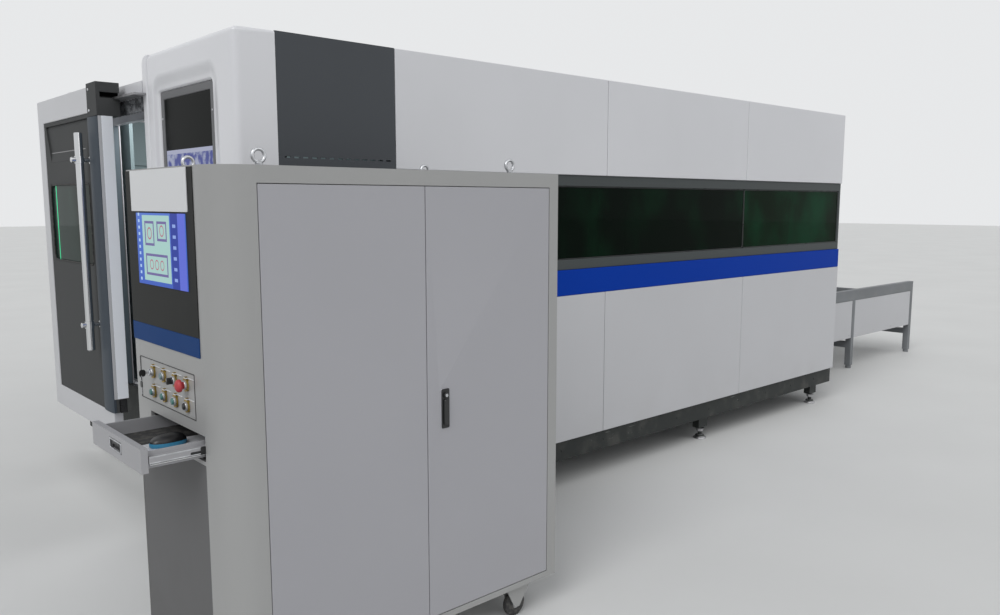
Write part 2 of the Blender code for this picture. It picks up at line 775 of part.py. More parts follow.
def sliding_door():
    """The hanging front door: white frame, dark panel, pale liner, window and handle."""
    front = DOOR_FRONT
    frame_back = front + DOOR_FRAME_DEPTH
    panel_back = front + DOOR_PANEL_DEPTH
    sill_top = DOOR_BOTTOM + DOOR_SILL
    header_bottom = DOOR_TOP - DOOR_HEADER
    stile = DOOR_FAR - DOOR_STILE
    near = DOOR_NEAR
    edge = near + DOOR_EDGE
    frame = block(
        "door_frame",
        (front, near + 0.015, DOOR_BOTTOM),
        (frame_back, DOOR_FAR, DOOR_TOP),
        PARTS,
    )
    notch_low = (front - 0.01, near, sill_top)
    notch = block("frame_notch", notch_low, (frame_back + 0.01, stile, header_bottom))
    side = block("frame_side", notch_low, (frame_back + 0.01, edge, DOOR_TOP + 0.01))
    carve(frame, notch, side)
    painted(frame, WHITE)
    door_panel(near, edge, stile, sill_top, header_bottom)

    liner_low = (panel_back + GAP, near + 0.004, DOOR_LINER_BOTTOM)
    liner_high = (DOOR_BACK, stile - GAP, header_bottom - HANGER_FOOT - GAP)
    liner = block("door_liner", liner_low, liner_high, PARTS)
    inner_low = (liner_low[0] - 0.01, WINDOW_NEAR - 0.030, WINDOW_BOTTOM - 0.030)
    inner = block("liner_window", inner_low, (DOOR_BACK + 0.01, WINDOW_FAR + 0.020, WINDOW_TOP + 0.030))
    carve(liner, inner)
    painted(liner, WHITE)

    pane = prism("door_window", window_outline(GAP), "x", front + 0.011, front + 0.019, PARTS)
    painted(pane, GREEN_GLASS)
    handle = door_handle()
    place = (HANGER_BACK, near, TRACK_HEIGHT)
    moving = [bpy.data.objects["door_panel"], frame, liner, pane, handle]
    hinge_point("sliding_door", place, *moving)


def door_panel(near, edge, stile, sill_top, header_bottom):
    """The dark front of the door with its hanger, window cut and relief."""
    front = DOOR_FRONT
    frame_back = front + DOOR_FRAME_DEPTH
    panel_back = front + DOOR_PANEL_DEPTH
    outline = rounded_outline((front + 0.004, near), (panel_back, stile - GAP), (DOOR_RADIUS, 0, 0, 0))
    panel = prism("door_panel", outline, "z", sill_top + GAP, header_bottom - GAP, PARTS)
    foot_bottom = header_bottom - HANGER_FOOT
    crown_low = (front - 0.002, near, foot_bottom)
    crown = block("hanger_crown", crown_low, (HANGER_BACK, edge - GAP, HANGER_TOP))
    hanger_low = (frame_back + GAP, near, foot_bottom + 0.004)
    hanger = block("hanger_bar", hanger_low, (HANGER_BACK, DOOR_FAR, DOOR_TOP))
    foot = block(
        "hanger_foot", (front + 0.010, near, foot_bottom), (DOOR_BACK, stile - GAP, header_bottom - GAP)
    )
    join(panel, crown, hanger, foot)
    slot_low = (TRACK_FRONT - 0.006, near - 0.01, TRACK_HEIGHT - 0.002)
    slot = block("hanger_slot", slot_low, (0.05, DOOR_FAR + 0.01, TRACK_HEIGHT + TRACK_THICKNESS + GAP))
    pocket_low = (front + 0.016, near - 0.01, TRACK_HEIGHT + 0.004)
    pocket = block("hanger_pocket", pocket_low, (0.05, near + 0.025, TRACK_HEIGHT + 0.032))
    window_cut = prism("door_window_cut", window_outline(0.0), "x", front - 0.01, panel_back + 0.01)
    left = edge + 0.030
    right = stile - 0.030
    relief_outline = [
        (left, RELIEF_TOP),
        (left + RELIEF_TAPER, RELIEF_BOTTOM),
        (right - RELIEF_TAPER, RELIEF_BOTTOM),
        (right, RELIEF_TOP),
    ]
    relief = prism("door_relief", relief_outline, "x", front - 0.01, front + 0.004 + RELIEF_DEPTH)
    carve(panel, slot, pocket, window_cut, relief)
    return painted(smooth(panel), DARK_GREY)


def window_outline(margin):
    """The door window's outline, rounded at its near corners, less a margin."""
    low = (WINDOW_NEAR + margin, WINDOW_BOTTOM + margin)
    high = (WINDOW_FAR - margin, WINDOW_TOP - margin)
    return rounded_outline(low, high, (WINDOW_RADIUS, 0, 0, WINDOW_RADIUS), 4)


def door_handle():
    """The tubular pull handle on two clamps."""
    x = DOOR_FRONT - HANDLE_REACH
    y = HANDLE_PLACE
    node = rod(
        "door_handle",
        (x, y, HANDLE_BOTTOM),
        (x, y, HANDLE_TOP),
        HANDLE_RADIUS,
        sides=20,
        home=PARTS,
    )
    tools = []
    for i, z in enumerate(CLAMP_HEIGHTS):
        tools.append(rod(
            f"clamp_{i}",
            (x - 0.040, y, z),
            (DOOR_FRONT + 0.004 - GAP, y, z),
            0.010,
            sides=12,
        ))
        tools.append(rod(
            f"collar_{i}",
            (DOOR_FRONT - 0.006, y, z),
            (DOOR_FRONT + 0.004 - GAP, y, z),
            0.018,
            sides=16,
        ))
    return painted(smooth(join(node, *tools)), CHROME)


def bed_frame():
    """The welded cutting bed with pallet ledges, cross members, legs and linear rails."""
    inner_near = MIDDLE_Y - BED_CLEAR / 2
    inner_far = MIDDLE_Y + BED_CLEAR / 2
    outer_near = inner_near - BEAM_WIDTH
    outer_far = inner_far + BEAM_WIDTH
    start = BED_START
    end = BED_END
    node = block("bed_frame", (start, outer_near, BEAM_BOTTOM), (end, inner_near, BEAM_TOP), PARTS)
    tools = [block("bed_beam_far", (start, inner_far, BEAM_BOTTOM), (end, outer_far, BEAM_TOP))]
    rail_half = RAIL_WIDTH / 2
    for i, top in enumerate((LEDGE_UPPER, LEDGE_LOWER)):
        thick = LEDGE_THICKNESS
        near_low = (start, inner_near - 0.01, top - thick)
        tools.append(block(f"ledge_near_{i}", near_low, (end, inner_near + LEDGE, top)))
        far_low = (start, inner_far - LEDGE, top - thick)
        tools.append(block(f"ledge_far_{i}", far_low, (end, inner_far + 0.01, top)))
    for i, y in enumerate((outer_near + BEAM_WIDTH / 2, outer_far - BEAM_WIDTH / 2)):
        low = (start, y - rail_half, BEAM_TOP - 0.01)
        tools.append(block(f"linear_rail_{i}", low, (end, y + rail_half, BEAM_TOP + RAIL_HEIGHT)))
    spacing = (end - start - 0.200) / (BED_LEGS - 1)
    for i in range(BED_LEGS):
        x = start + 0.040 + i * spacing
        tie_low = (x, outer_near, BEAM_BOTTOM - 0.100)
        tools.append(block(f"bed_tie_{i}", tie_low, (x + 0.120, outer_far, BEAM_BOTTOM + 0.010)))
        for side, y in (("near", outer_near + BEAM_WIDTH / 2), ("far", outer_far - BEAM_WIDTH / 2)):
            foot = (x + 0.060, y)
            leg_low = (x + 0.010, y - 0.050, 0.050)
            tools.append(block(f"leg_{side}_{i}", leg_low, (x + 0.110, y + 0.050, BEAM_BOTTOM)))
            tools.append(rod(f"bed_pad_{side}_{i}", (*foot, 0.0), (*foot, 0.060), 0.070, 0.060, 16))
    return painted(join(node, *tools), TEAL_GREY)


def pallet(name, start, ledge):
    """A slatted pallet on side wheels that run on ledges at one height."""
    bottom = ledge + 0.010
    top = bottom + PALLET_HEIGHT
    near = MIDDLE_Y - PALLET_WIDTH / 2
    far = MIDDLE_Y + PALLET_WIDTH / 2
    end = start + PALLET_LENGTH
    node = block(name, (start, near, bottom), (end, near + PALLET_RAIL, top), PARTS)
    tools = [
        block(name + "_far", (start, far - PALLET_RAIL, bottom), (end, far, top)),
        block(name + "_head", (start, near, bottom), (start + PALLET_RAIL, far, top)),
        block(name + "_tail", (end - PALLET_RAIL, near, bottom), (end, far, top)),
        block(name + "_spine", (start, MIDDLE_Y - 0.025, bottom), (end, MIDDLE_Y + 0.025, top - 0.020)),
    ]
    pitch = (PALLET_LENGTH - 2 * PALLET_RAIL) / (SLAT_COUNT + 1)
    for i in range(SLAT_COUNT):
        x = start + PALLET_RAIL + pitch * (i + 1)
        low = (x - SLAT_THICKNESS / 2, near + 0.015, top - 0.035)
        tools.append(block(
            f"{name}_slat_{i}", low, (x + SLAT_THICKNESS / 2, far - 0.015, top + SLAT_RISE)
        ))
    for i, x in enumerate((start + 0.120, start + PALLET_LENGTH / 2, end - 0.120)):
        axle = ledge + WHEEL_RADIUS + GAP
        for side, inner, outer in (
            ("near", near + 0.01, near - WHEEL_WIDTH), ("far", far - 0.01, far + WHEEL_WIDTH)
        ):
            tools.append(rod(
                f"{name}_wheel_{side}_{i}",
                (x, inner, axle),
                (x, outer, axle),
                WHEEL_RADIUS,
                sides=16,
            ))
    painted(join(node, *tools), SLAT_STEEL)
    hinge_point(name, (start, MIDDLE_Y, ledge), node)
    return node


def exchange_table():
    """The open frame behind the machine that the pallets roll out onto."""
    start = BODY_LENGTH + 0.020
    end = TABLE_END
    near = MIDDLE_Y - TABLE_WIDTH / 2
    far = MIDDLE_Y + TABLE_WIDTH / 2
    beam = TABLE_BEAM
    node = block(
        "exchange_frame",
        (start, near, TABLE_TOP - 0.100),
        (end, near + beam, TABLE_TOP),
        PARTS,
    )
    tools = [block("table_beam_far", (start, far - beam, TABLE_TOP - 0.100), (end, far, TABLE_TOP))]
    inner_near = MIDDLE_Y - BED_CLEAR / 2 + LEDGE
    inner_far = MIDDLE_Y + BED_CLEAR / 2 - LEDGE
    for i, top in enumerate((LEDGE_UPPER, LEDGE_LOWER)):
        low = top - LEDGE_THICKNESS
        tools.append(block(f"table_ledge_near_{i}", (start, near + 0.01, low), (end, inner_near, top)))
        tools.append(block(f"table_ledge_far_{i}", (start, inner_far, low), (end, far - 0.01, top)))
    for side, y in (("near", near), ("far", far - beam)):
        low = (BODY_LENGTH + GAP, y, 0.290)
        tools.append(block(f"table_bracket_{side}", low, (start + 0.01, y + beam, 0.340)))
    posts = (start, (start + end - beam) / 2, end - beam)
    for i, x in enumerate(posts):
        for side, y in (("near", near), ("far", far - beam)):
            tools.append(block(
                f"table_post_{side}_{i}", (x, y, 0.030), (x + beam, y + beam, TABLE_TOP - 0.01)
            ))
            spot = (x + beam / 2, y + beam / 2)
            tools.append(rod(
                f"table_foot_{side}_{i}",
                (*spot, 0.0),
                (*spot, 0.045),
                beam / 2,
                beam / 2 - 0.004,
                16,
            ))
        tools.append(block(f"table_tie_{i}", (x, near, 0.200), (x + beam, far, 0.255)))
    tools.append(block("table_end", (end - beam, near, 0.560), (end, far, 0.640)))
    tools.append(block("table_end_low", (end - beam, near, 0.330), (end, far, 0.380)))
    return painted(join(node, *tools), FRAME_GREY)


def scrap_tray():
    """The bin on the bed ties that catches slag and small parts."""
    near = MIDDLE_Y - BED_CLEAR / 2 + LEDGE + 0.020
    far = MIDDLE_Y + BED_CLEAR / 2 - LEDGE - 0.020
    low = (PALLET_START - 0.150, near, BEAM_BOTTOM + 0.010 + GAP)
    high = (PALLET_START + PALLET_LENGTH + 0.150, far, LEDGE_LOWER - LEDGE_THICKNESS - 0.005)
    return tray("scrap_tray", low, high, 2, True, FRAME_GREY)


def gantry():
    """The gantry beam on its trucks, the carriage on it and the cutting head."""
    left = GANTRY_X
    right = GANTRY_X + GANTRY_DEPTH
    bottom = GANTRY_BOTTOM
    top = bottom + GANTRY_HEIGHT
    rail_near = MIDDLE_Y - BED_CLEAR / 2 - BEAM_WIDTH / 2
    rail_far = MIDDLE_Y + BED_CLEAR / 2 + BEAM_WIDTH / 2
    reach = 0.085
    beam = block(
        "gantry_beam",
        (left, rail_near - reach, bottom),
        (right, rail_far + reach, top),
        PARTS,
    )
    tools = []
    for side, y in (("near", rail_near), ("far", rail_far)):
        truck_low = (left - 0.060, y - 0.045, BEAM_TOP + RAIL_HEIGHT + GAP)
        tools.append(block(f"truck_{side}", truck_low, (right + 0.060, y + 0.045, bottom + 0.020)))
        tools.append(rod(
            f"drive_{side}",
            (right + 0.075, y, bottom + 0.010),
            (right + 0.075, y, top + 0.140),
            0.045,
            sides=16,
        ))
        tools.append(block(
            f"drive_mount_{side}",
            (right - 0.01, y - 0.050, bottom),
            (right + 0.130, y + 0.050, bottom + 0.060),
        ))
    for i, z in enumerate((bottom + 0.035, top - 0.055)):
        low = (left - 0.018, rail_near + 0.120, z)
        tools.append(block(f"beam_rail_{i}", low, (left + 0.010, rail_far - 0.120, z + 0.020)))
    painted(join(beam, *tools), TEAL_GREY)
    hinge_point("gantry", (left, MIDDLE_Y, bottom), beam)

    face = left - 0.018 - GAP
    y0 = CARRIAGE_Y
    y1 = CARRIAGE_Y + CARRIAGE_WIDTH
    carriage = block(
        "head_carriage",
        (face - CARRIAGE_THICKNESS, y0, bottom - 0.010),
        (face, y1, CARRIAGE_TOP),
        PARTS,
    )
    motor = block(
        "z_motor",
        (face - 0.020, y0 + 0.060, CARRIAGE_TOP - 0.02),
        (face + 0.070, y1 - 0.060, CARRIAGE_TOP + 0.130),
    )
    cover = block(
        "z_cover", (face - 0.040, y0 + 0.010, top + 0.030), (face + 0.080, y1 - 0.010, CARRIAGE_TOP)
    )
    painted(join(carriage, motor, cover), DARK_GREY)
    hinge_point("carriage", (face, y0, bottom), carriage)

    cutting_head(face - CARRIAGE_THICKNESS - 0.0155)


def cutting_head(back):
    """The laser cutting head: body, collimator, gas fittings and copper nozzle."""
    y = CARRIAGE_Y + CARRIAGE_WIDTH / 2
    half = HEAD_BODY / 2
    x = back - half - GAP
    body_bottom = NOZZLE_TIP + 0.110
    node = block(
        "cutting_head",
        (x - half, y - half, body_bottom),
        (x + half, y + half, body_bottom + 0.250),
        PARTS,
    )
    tools = [
        rod("collimator", (x, y, body_bottom + 0.24), (x, y, body_bottom + 0.420), 0.030),
        rod("fiber_plug", (x, y, body_bottom + 0.41), (x, y, body_bottom + 0.500), 0.016, sides=12),
        rod("sensor", (x, y, NOZZLE_TIP + 0.050), (x, y, body_bottom + 0.01), 0.030),
        rod("nozzle", (x, y, NOZZLE_TIP), (x, y, NOZZLE_TIP + 0.055), 0.006, 0.024, 16),
        rod(
            "gas_fitting",
            (x - half - 0.040, y, body_bottom + 0.060),
            (x - half + 0.01, y, body_bottom + 0.060),
            0.010,
            sides=10,
        ),
        block(
            "z_plate",
            (x + half - 0.01, y - 0.060, body_bottom + 0.02),
            (back + 0.0155 - GAP, y + 0.060, body_bottom + 0.23),
        ),
    ]
    painted(join(node, *tools), BLACK)
    hinge_point("cutting_head", (x, y, NOZZLE_TIP), node)


def cabinet_shell():
    """The control cabinet's body with its round front corner, openings, lifting eyes and forks."""
    left, right, near, far = CAB_LEFT, CAB_RIGHT, CAB_FRONT, CAB_BACK
    outline = rounded_outline((left, near), (right, far), (CAB_RADIUS, 0, 0, 0.030), 6)
    node = prism("cabinet_shell", outline, "z", CAB_BOTTOM, CAB_TOP, PARTS)
    wall = CAB_WALL
    inner_radii = (CAB_RADIUS - wall, 0, 0, 0.030 - wall)
    inner = rounded_outline(
        (left + wall, near + wall + CAB_DOOR),
        (right - wall, far - wall),
        inner_radii,
        6,
    )
    cutters = [prism("cabinet_hollow", inner, "z", CAB_BOTTOM + wall, CAB_TOP - wall)]
    gap = CAB_DOOR_GAP
    rebate_low = (CAB_DOOR_LEFT - gap, near - 0.01, CAB_DOOR_BOTTOM - gap)
    rebate_high = (CAB_DOOR_RIGHT + gap, near + CAB_DOOR + GAP, CAB_DOOR_TOP + gap)
    cutters.append(block("door_rebate", rebate_low, rebate_high))
    lip = CAB_LIP
    mouth_low = (CAB_DOOR_LEFT + lip, near - 0.01, CAB_DOOR_BOTTOM + lip)
    mouth_high = (CAB_DOOR_RIGHT - lip, near + CAB_DOOR + 2 * wall, CAB_DOOR_TOP - lip)
    cutters.append(block("cabinet_mouth", mouth_low, mouth_high))
    margin = SLOT_MARGIN
    slot_low = (left - 0.01, DRAWER_NEAR - margin, DRAWER_BOTTOM - margin)
    cutters.append(block(
        "drawer_slot", slot_low, (left + 0.05, DRAWER_FAR + margin, DRAWER_TOP + margin)
    ))
    keys_low = (left - 0.01, KEYS_NEAR, KEYS_BOTTOM)
    cutters.append(block("keys_pocket", keys_low, (left + KEYS_POCKET, KEYS_FAR, KEYS_TOP)))
    holes_x = (left - 0.01, left + 0.05)
    for row, z in enumerate(BUTTON_ROWS):
        for column in range(4):
            y = BUTTON_FIRST - column * BUTTON_PITCH
            hole = rod(
                f"key_hole_{row}_{column}",
                (holes_x[0], y, z),
                (holes_x[1], y, z),
                BUTTON_RADIUS + 0.002,
                sides=12,
            )
            cutters.append(hole)
    lower_low = (left - 0.01, CONSOLE_NEAR - 0.003, CAB_BOTTOM + 0.020)
    cutters.append(block(
        "knee_panel", lower_low, (left + 0.006, CONSOLE_FAR + 0.002, DRAWER_BOTTOM - 0.015)
    ))
    carve(node, *cutters)
    tools = lifting_eyes() + caster_forks() + slide_channels()
    tools.append(block(
        "shelf", (left + wall - 0.005, far - 0.300, 0.560), (right - wall + 0.005, far - 0.005, 0.572)
    ))
    join(node, *tools)
    return painted(smooth(node), CABINET_GREY)


def lifting_eyes():
    """Four eye bolts on the cabinet top."""
    tools = []
    spots = (
        (-0.345, CAB_FRONT + 0.065),
        (0.645, CAB_FRONT + 0.065),
        (-0.318, CAB_BACK - 0.065),
        (0.690, CAB_BACK - 0.065),
    )
    for i, (x, y) in enumerate(spots):
        centre = (x, y, CAB_TOP + 0.010 + EYE_RING)
        tools.append(ring(f"eye_{i}", centre, EYE_RING, EYE_WIRE))
        tools.append(rod(
            f"eye_base_{i}",
            (x, y, CAB_TOP - 0.005),
            (x, y, CAB_TOP + 0.012),
            0.012,
            0.009,
            12,
        ))
    return tools


def caster_spots():
    """Each caster's centre in plan."""
    left = CAB_LEFT + CASTER_INSET
    right = CAB_RIGHT - CASTER_INSET
    inset = 0.030 + CASTER_WIDTH / 2
    return [(x, y) for x in (left, right) for y in (CAB_FRONT + inset, CAB_BACK - inset)]


def caster_forks():
    """Triangular fork plates and axles under the cabinet."""
    tools = []
    half = CASTER_WIDTH / 2
    for i, (x, y) in enumerate(caster_spots()):
        sides = [
            (x - 0.060, CAB_BOTTOM + 0.004),
            (x - 0.012, 0.040),
            (x + 0.012, 0.040),
            (x + 0.075, CAB_BOTTOM + 0.004),
        ]
        for j, plate in enumerate((y - half - 0.002 - CASTER_PLATE, y + half + 0.002)):
            tools.append(prism(f"fork_{i}_{j}", sides, "y", plate, plate + CASTER_PLATE))
        reach = half + 0.002 + CASTER_PLATE
        axle = CASTER_RADIUS
        tools.append(rod(
            f"axle_{i}",
            (x, y - reach, axle),
            (x, y + reach, axle),
            AXLE_RADIUS,
            sides=12,
        ))
    return tools


def slide_channels():
    """The fixed halves of the drawer slides, inside the cabinet."""
    middle = (DRAWER_BOTTOM + DRAWER_TOP) / 2
    low = middle - SLIDE_HEIGHT / 2
    high = middle + SLIDE_HEIGHT / 2
    start = CAB_LEFT + CAB_WALL - 0.002
    end = CAB_LEFT + DRAWER_DEPTH
    tools = []
    for i, y in enumerate((DRAWER_NEAR - SLOT_MARGIN - SLIDE_WIDTH, DRAWER_FAR + SLOT_MARGIN)):
        tools.append(block(f"channel_{i}", (start, y, low), (end, y + SLIDE_WIDTH, high)))
    return tools


def caster_wheels():
    """Four wheels that turn on the fork axles."""
    half = CASTER_WIDTH / 2
    for i, (x, y) in enumerate(caster_spots(), 1):
        axle = CASTER_RADIUS
        wheel = rod(
            f"caster_wheel_{i}",
            (x, y - half, axle),
            (x, y + half, axle),
            CASTER_RADIUS,
            sides=28,
            home=PARTS,
        )
        carve(
            wheel,
            rod(
                f"wheel_bore_{i}",
                (x, y - 0.03, axle),
                (x, y + 0.03, axle),
                AXLE_RADIUS + GAP,
                sides=12,
            ),
        )
        painted(smooth(wheel), BLACK)
        hinge_point(f"caster_{i}", (x, y, axle), wheel)


def cabinet_doors():
    """Two flush doors on vertical hinges, and the swing latch on the right one."""
    gap = CAB_DOOR_GAP
    spans = {
        "left": (CAB_DOOR_LEFT, CAB_DOOR_SPLIT - gap / 2, CAB_DOOR_LEFT),
        "right": (CAB_DOOR_SPLIT + gap / 2, CAB_DOOR_RIGHT, CAB_DOOR_RIGHT),
    }
    for side, (start, end, hinge) in spans.items():
        low = (start, CAB_FRONT, CAB_DOOR_BOTTOM)
        high = (end, CAB_FRONT + CAB_DOOR, CAB_DOOR_TOP)
        node = block(f"cabinet_door_{side}", low, high, PARTS)
        pan_low = (start + 0.030, CAB_FRONT + SHEET, CAB_DOOR_BOTTOM + 0.030)
        carve(
            node,
            block(f"door_pan_{side}", pan_low, (end - 0.030, CAB_FRONT + 0.030, CAB_DOOR_TOP - 0.030)),
        )
        moving = [node]
        if side == "right":
            plate_low = (LATCH_X - LATCH_WIDTH / 2, CAB_FRONT - LATCH_PLATE, LATCH_BOTTOM)
            plate_high = (LATCH_X + LATCH_WIDTH / 2, CAB_FRONT + 0.001, LATCH_TOP)
            join(node, block("latch_plate", plate_low, plate_high))
        painted(node, DOOR_LILAC)
        hinge_point(f"cabinet_door_{side}", (hinge, CAB_FRONT, CAB_DOOR_BOTTOM), *moving)
    back = CAB_FRONT - LATCH_PLATE - GAP
    low = (LATCH_X - 0.008, back - LATCH_HANDLE, LATCH_BOTTOM + 0.012)
    high = (LATCH_X + 0.008, back, LATCH_TOP - 0.010)
    latch = painted(block("swing_latch", low, high, PARTS), BLACK)
    latch_axis = LATCH_TOP - 0.022
    hinge_point("swing_latch", (LATCH_X, back, latch_axis), latch)


def cabinet_inside():
    """The laser source on the cabinet floor and the electrical plate on its back wall."""
    floor = CAB_BOTTOM + CAB_WALL + GAP
    near = CAB_FRONT + 0.100
    source = block("laser_source", (-0.300, near, floor), (0.420, CAB_BACK - 0.120, 0.500), PARTS)
    handles = []
    for i, x in enumerate((-0.240, 0.340)):
        handles.append(block(
            f"source_grip_{i}", (x, near - 0.035, 0.260), (x + 0.020, near + 0.01, 0.400)
        ))
    handles.append(block("source_face", (-0.160, near - 0.008, 0.230), (0.280, near + 0.01, 0.430)))
    painted(join(source, *handles), CABINET_GREY)
    back = CAB_BACK - CAB_WALL - GAP
    plate = block("electrical_plate", (-0.420, back - SHEET, 0.600), (0.780, back, 1.600), PARTS)
    parts = []
    rows = (
        (1.420, 0.130, 0.070, 9),
        (1.180, 0.160, 0.110, 6),
        (0.945, 0.170, 0.140, 5),
        (0.660, 0.100, 0.060, 12),
    )
    for i, (bottom, height, depth, count) in enumerate(rows):
        pitch = 1.140 / count
        for j in range(count):
            x = -0.390 + j * pitch
            low = (x, back - SHEET - depth + 0.010 * (j % 2), bottom)
            parts.append(block(
                f"device_{i}_{j}", low, (x + pitch * 0.72, back - 0.001, bottom + height)
            ))
        duct_low = (-0.410, back - 0.045, bottom - 0.050)
        parts.append(block(f"duct_{i}", duct_low, (0.770, back - 0.001, bottom - 0.015)))
    return painted(join(plate, *parts), STEEL)


def console():
    """The charcoal fascia, the screen, and the button plate with its controls."""
    face = CAB_LEFT - GAP
    fascia_low = (face - FASCIA, CONSOLE_NEAR, STRIPE_BOTTOM)
    fascia = block("console_fascia", fascia_low, (face, CONSOLE_FAR, CAB_TOP - 0.004), PARTS)
    painted(fascia, CHARCOAL)
    front = face - FASCIA - GAP
    screen = block(
        "console_screen",
        (front - 0.003, SCREEN_NEAR, SCREEN_BOTTOM),
        (front, SCREEN_FAR, SCREEN_TOP),
        PARTS,
    )
    painted(screen, BLUE)
    pocket_back = CAB_LEFT + KEYS_POCKET - GAP
    low = (pocket_back - 0.003, KEYS_NEAR + GAP, KEYS_BOTTOM + GAP)
    keys = block("button_plate", low, (pocket_back, KEYS_FAR - GAP, KEYS_TOP - GAP), PARTS)
    rings = []
    bores = []
    for row, z in enumerate(BUTTON_ROWS):
        for column in range(4):
            y = BUTTON_FIRST - column * BUTTON_PITCH
            name = f"{row}_{column}"
            outer = CAB_LEFT - 0.010
            rings.append(rod(
                f"badge_{name}",
                (low[0] - 0.002, y, z),
                (low[0] + 0.001, y, z),
                BEZEL_RING,
                sides=18,
            ))
            rings.append(rod(
                f"collar_{name}",
                (outer, y, z),
                (low[0] + 0.001, y, z),
                BUTTON_RADIUS + 0.004,
                sides=18,
            ))
            bores.append(rod(
                f"bore_{name}",
                (outer - 0.01, y, z),
                (pocket_back + 0.01, y, z),
                BUTTON_RADIUS + BUTTON_FIT,
                sides=18,
            ))
    join(keys, *rings)
    carve(keys, *bores)
    painted(keys, CABINET_GREY)
    for row, names in enumerate(CONTROLS):
        for column, name in enumerate(names):
            control(name, BUTTON_FIRST - column * BUTTON_PITCH, BUTTON_ROWS[row])


def control(name, y, z):
    """One operating element: a stem in the plate's bore with its own head."""
    back = CAB_LEFT + 0.010
    front = CAB_LEFT - 0.016
    node = rod(name, (back, y, z), (front, y, z), BUTTON_RADIUS, sides=18, home=PARTS)
    look = GREEN
    if name == "emergency_stop":
        look = RED
        reach = front - 0.014
        flare = rod("stop_flare", (front + 0.001, y, z), (reach, y, z), 0.014, 0.020, 20)
        crown = rod("stop_crown", (reach + 0.001, y, z), (reach - 0.006, y, z), 0.020, 0.013, 20)
        join(node, flare, crown)
    if name == "key_switch":
        look = STEEL
        bow = block(
            "key_bow", (front - 0.032, y - 0.0015, z - 0.012), (front - 0.008, y + 0.0015, z + 0.012)
        )
        blade = block(
            "key_blade", (front - 0.012, y - 0.0012, z - 0.004), (front + 0.002, y + 0.0012, z + 0.004)
        )
        join(node, bow, blade)
    if name == "mode_selector":
        look = BLACK
        join(
            node,
            block(
                "selector_bar",
                (front - 0.012, y - 0.004, z - 0.0105),
                (front + 0.002, y + 0.004, z + 0.0105),
            ),
        )
    painted(smooth(node), look)
    hinge_point(name, (CAB_LEFT, y, z), node)


def keyboard_drawer():
    """The drawer on telescopic slides, with a finger pull, and the mouse that lies in it."""
    front = CAB_LEFT - DRAWER_OUT
    back = front + DRAWER_FRONT
    node = block(
        "keyboard_drawer",
        (front, DRAWER_NEAR, DRAWER_BOTTOM),
        (back, DRAWER_FAR, DRAWER_TOP),
        PARTS,
    )
    near = DRAWER_NEAR + SLIDE_WIDTH + 0.002
    far = DRAWER_FAR - SLIDE_WIDTH - 0.002
    end = front + DRAWER_DEPTH
    floor = DRAWER_BOTTOM + 0.010
    box = block("drawer_box", (back - 0.005, near, floor), (end, far, DRAWER_TOP - 0.012))
    middle = (DRAWER_BOTTOM + DRAWER_TOP) / 2
    half = SLIDE_HEIGHT / 2 - 0.004
    slides = []
    fixed_near = DRAWER_NEAR - SLOT_MARGIN + GAP
    fixed_far = DRAWER_FAR + SLOT_MARGIN - GAP
    for i, (low_y, high_y) in enumerate(((fixed_near, near + 0.001), (far - 0.001, fixed_far))):
        slides.append(block(
            f"slide_{i}", (back + 0.002, low_y, middle - half), (end, high_y, middle + half)
        ))
    join(node, box, *slides)
    wall = DRAWER_WALL
    well_low = (back, near + wall, floor + wall)
    well = block("drawer_well", well_low, (end - wall, far - wall, DRAWER_TOP + 0.01))
    pull_y = (DRAWER_NEAR + DRAWER_FAR) / 2
    pull = block(
        "finger_pull",
        (front - 0.01, pull_y - 0.051, middle - 0.015),
        (front + 0.010, pull_y + 0.051, middle + 0.021),
    )
    carve(node, well, pull)
    painted(node, WHITE)
    mouse = mouse_shape(floor + wall + GAP)
    hinge_point("keyboard_drawer", (back, (near + far) / 2, floor), node, mouse)


def mouse_shape(floor):
    """A computer mouse: the upper half of a flattened ball, cut by a flat base."""
    form = bmesh.new()
    bmesh.ops.create_uvsphere(form, u_segments=20, v_segments=12, radius=1.0)
    bmesh.ops.scale(form, vec=MOUSE_HALF, verts=form.verts)
    mesh = bpy.data.meshes.new("mouse")
    form.to_mesh(mesh)
    form.free()
    sink = MOUSE_HALF[2] * 0.25
    node = placed("mouse", mesh, point(MOUSE_X, MOUSE_Y, floor + sink), PARTS)
    low = (MOUSE_X - 0.1, MOUSE_Y - 0.1, floor - 0.05)
    carve(node, block("mouse_base_cut", low, (MOUSE_X + 0.1, MOUSE_Y + 0.1, floor)))
    return painted(smooth(node, 50), BLACK)


clear_scene()
PARTS = collection(OBJECT_NAME)
CUTTERS = collection("cutters")
base_skirt()
side_frame("near_frame", PANEL_DEPTH + GAP)
side_frame("far_frame", BODY_WIDTH - PANEL_DEPTH - GAP - TUBE)
near_side()
far_side()
roof()
rear_end()
operator_head()
operator_end()
sliding_door()
bed_frame()
pallet("inner_pallet", PALLET_START, LEDGE_UPPER)
pallet("outer_pallet", PALLET_START + PALLET_TRAVEL, LEDGE_LOWER)
exchange_table()
scrap_tray()
gantry()
cabinet_shell()
caster_wheels()
cabinet_doors()
cabinet_inside()
console()
keyboard_drawer()
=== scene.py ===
"""Finishes and fine shapes for an enclosed fiber laser cutting machine with its cabinet and table.

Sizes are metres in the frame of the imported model. at(x, y, z) takes shop coordinates: x along the
machine from its operator end, y into its depth from the windowed side, z from the floor.
"""
import json
import math

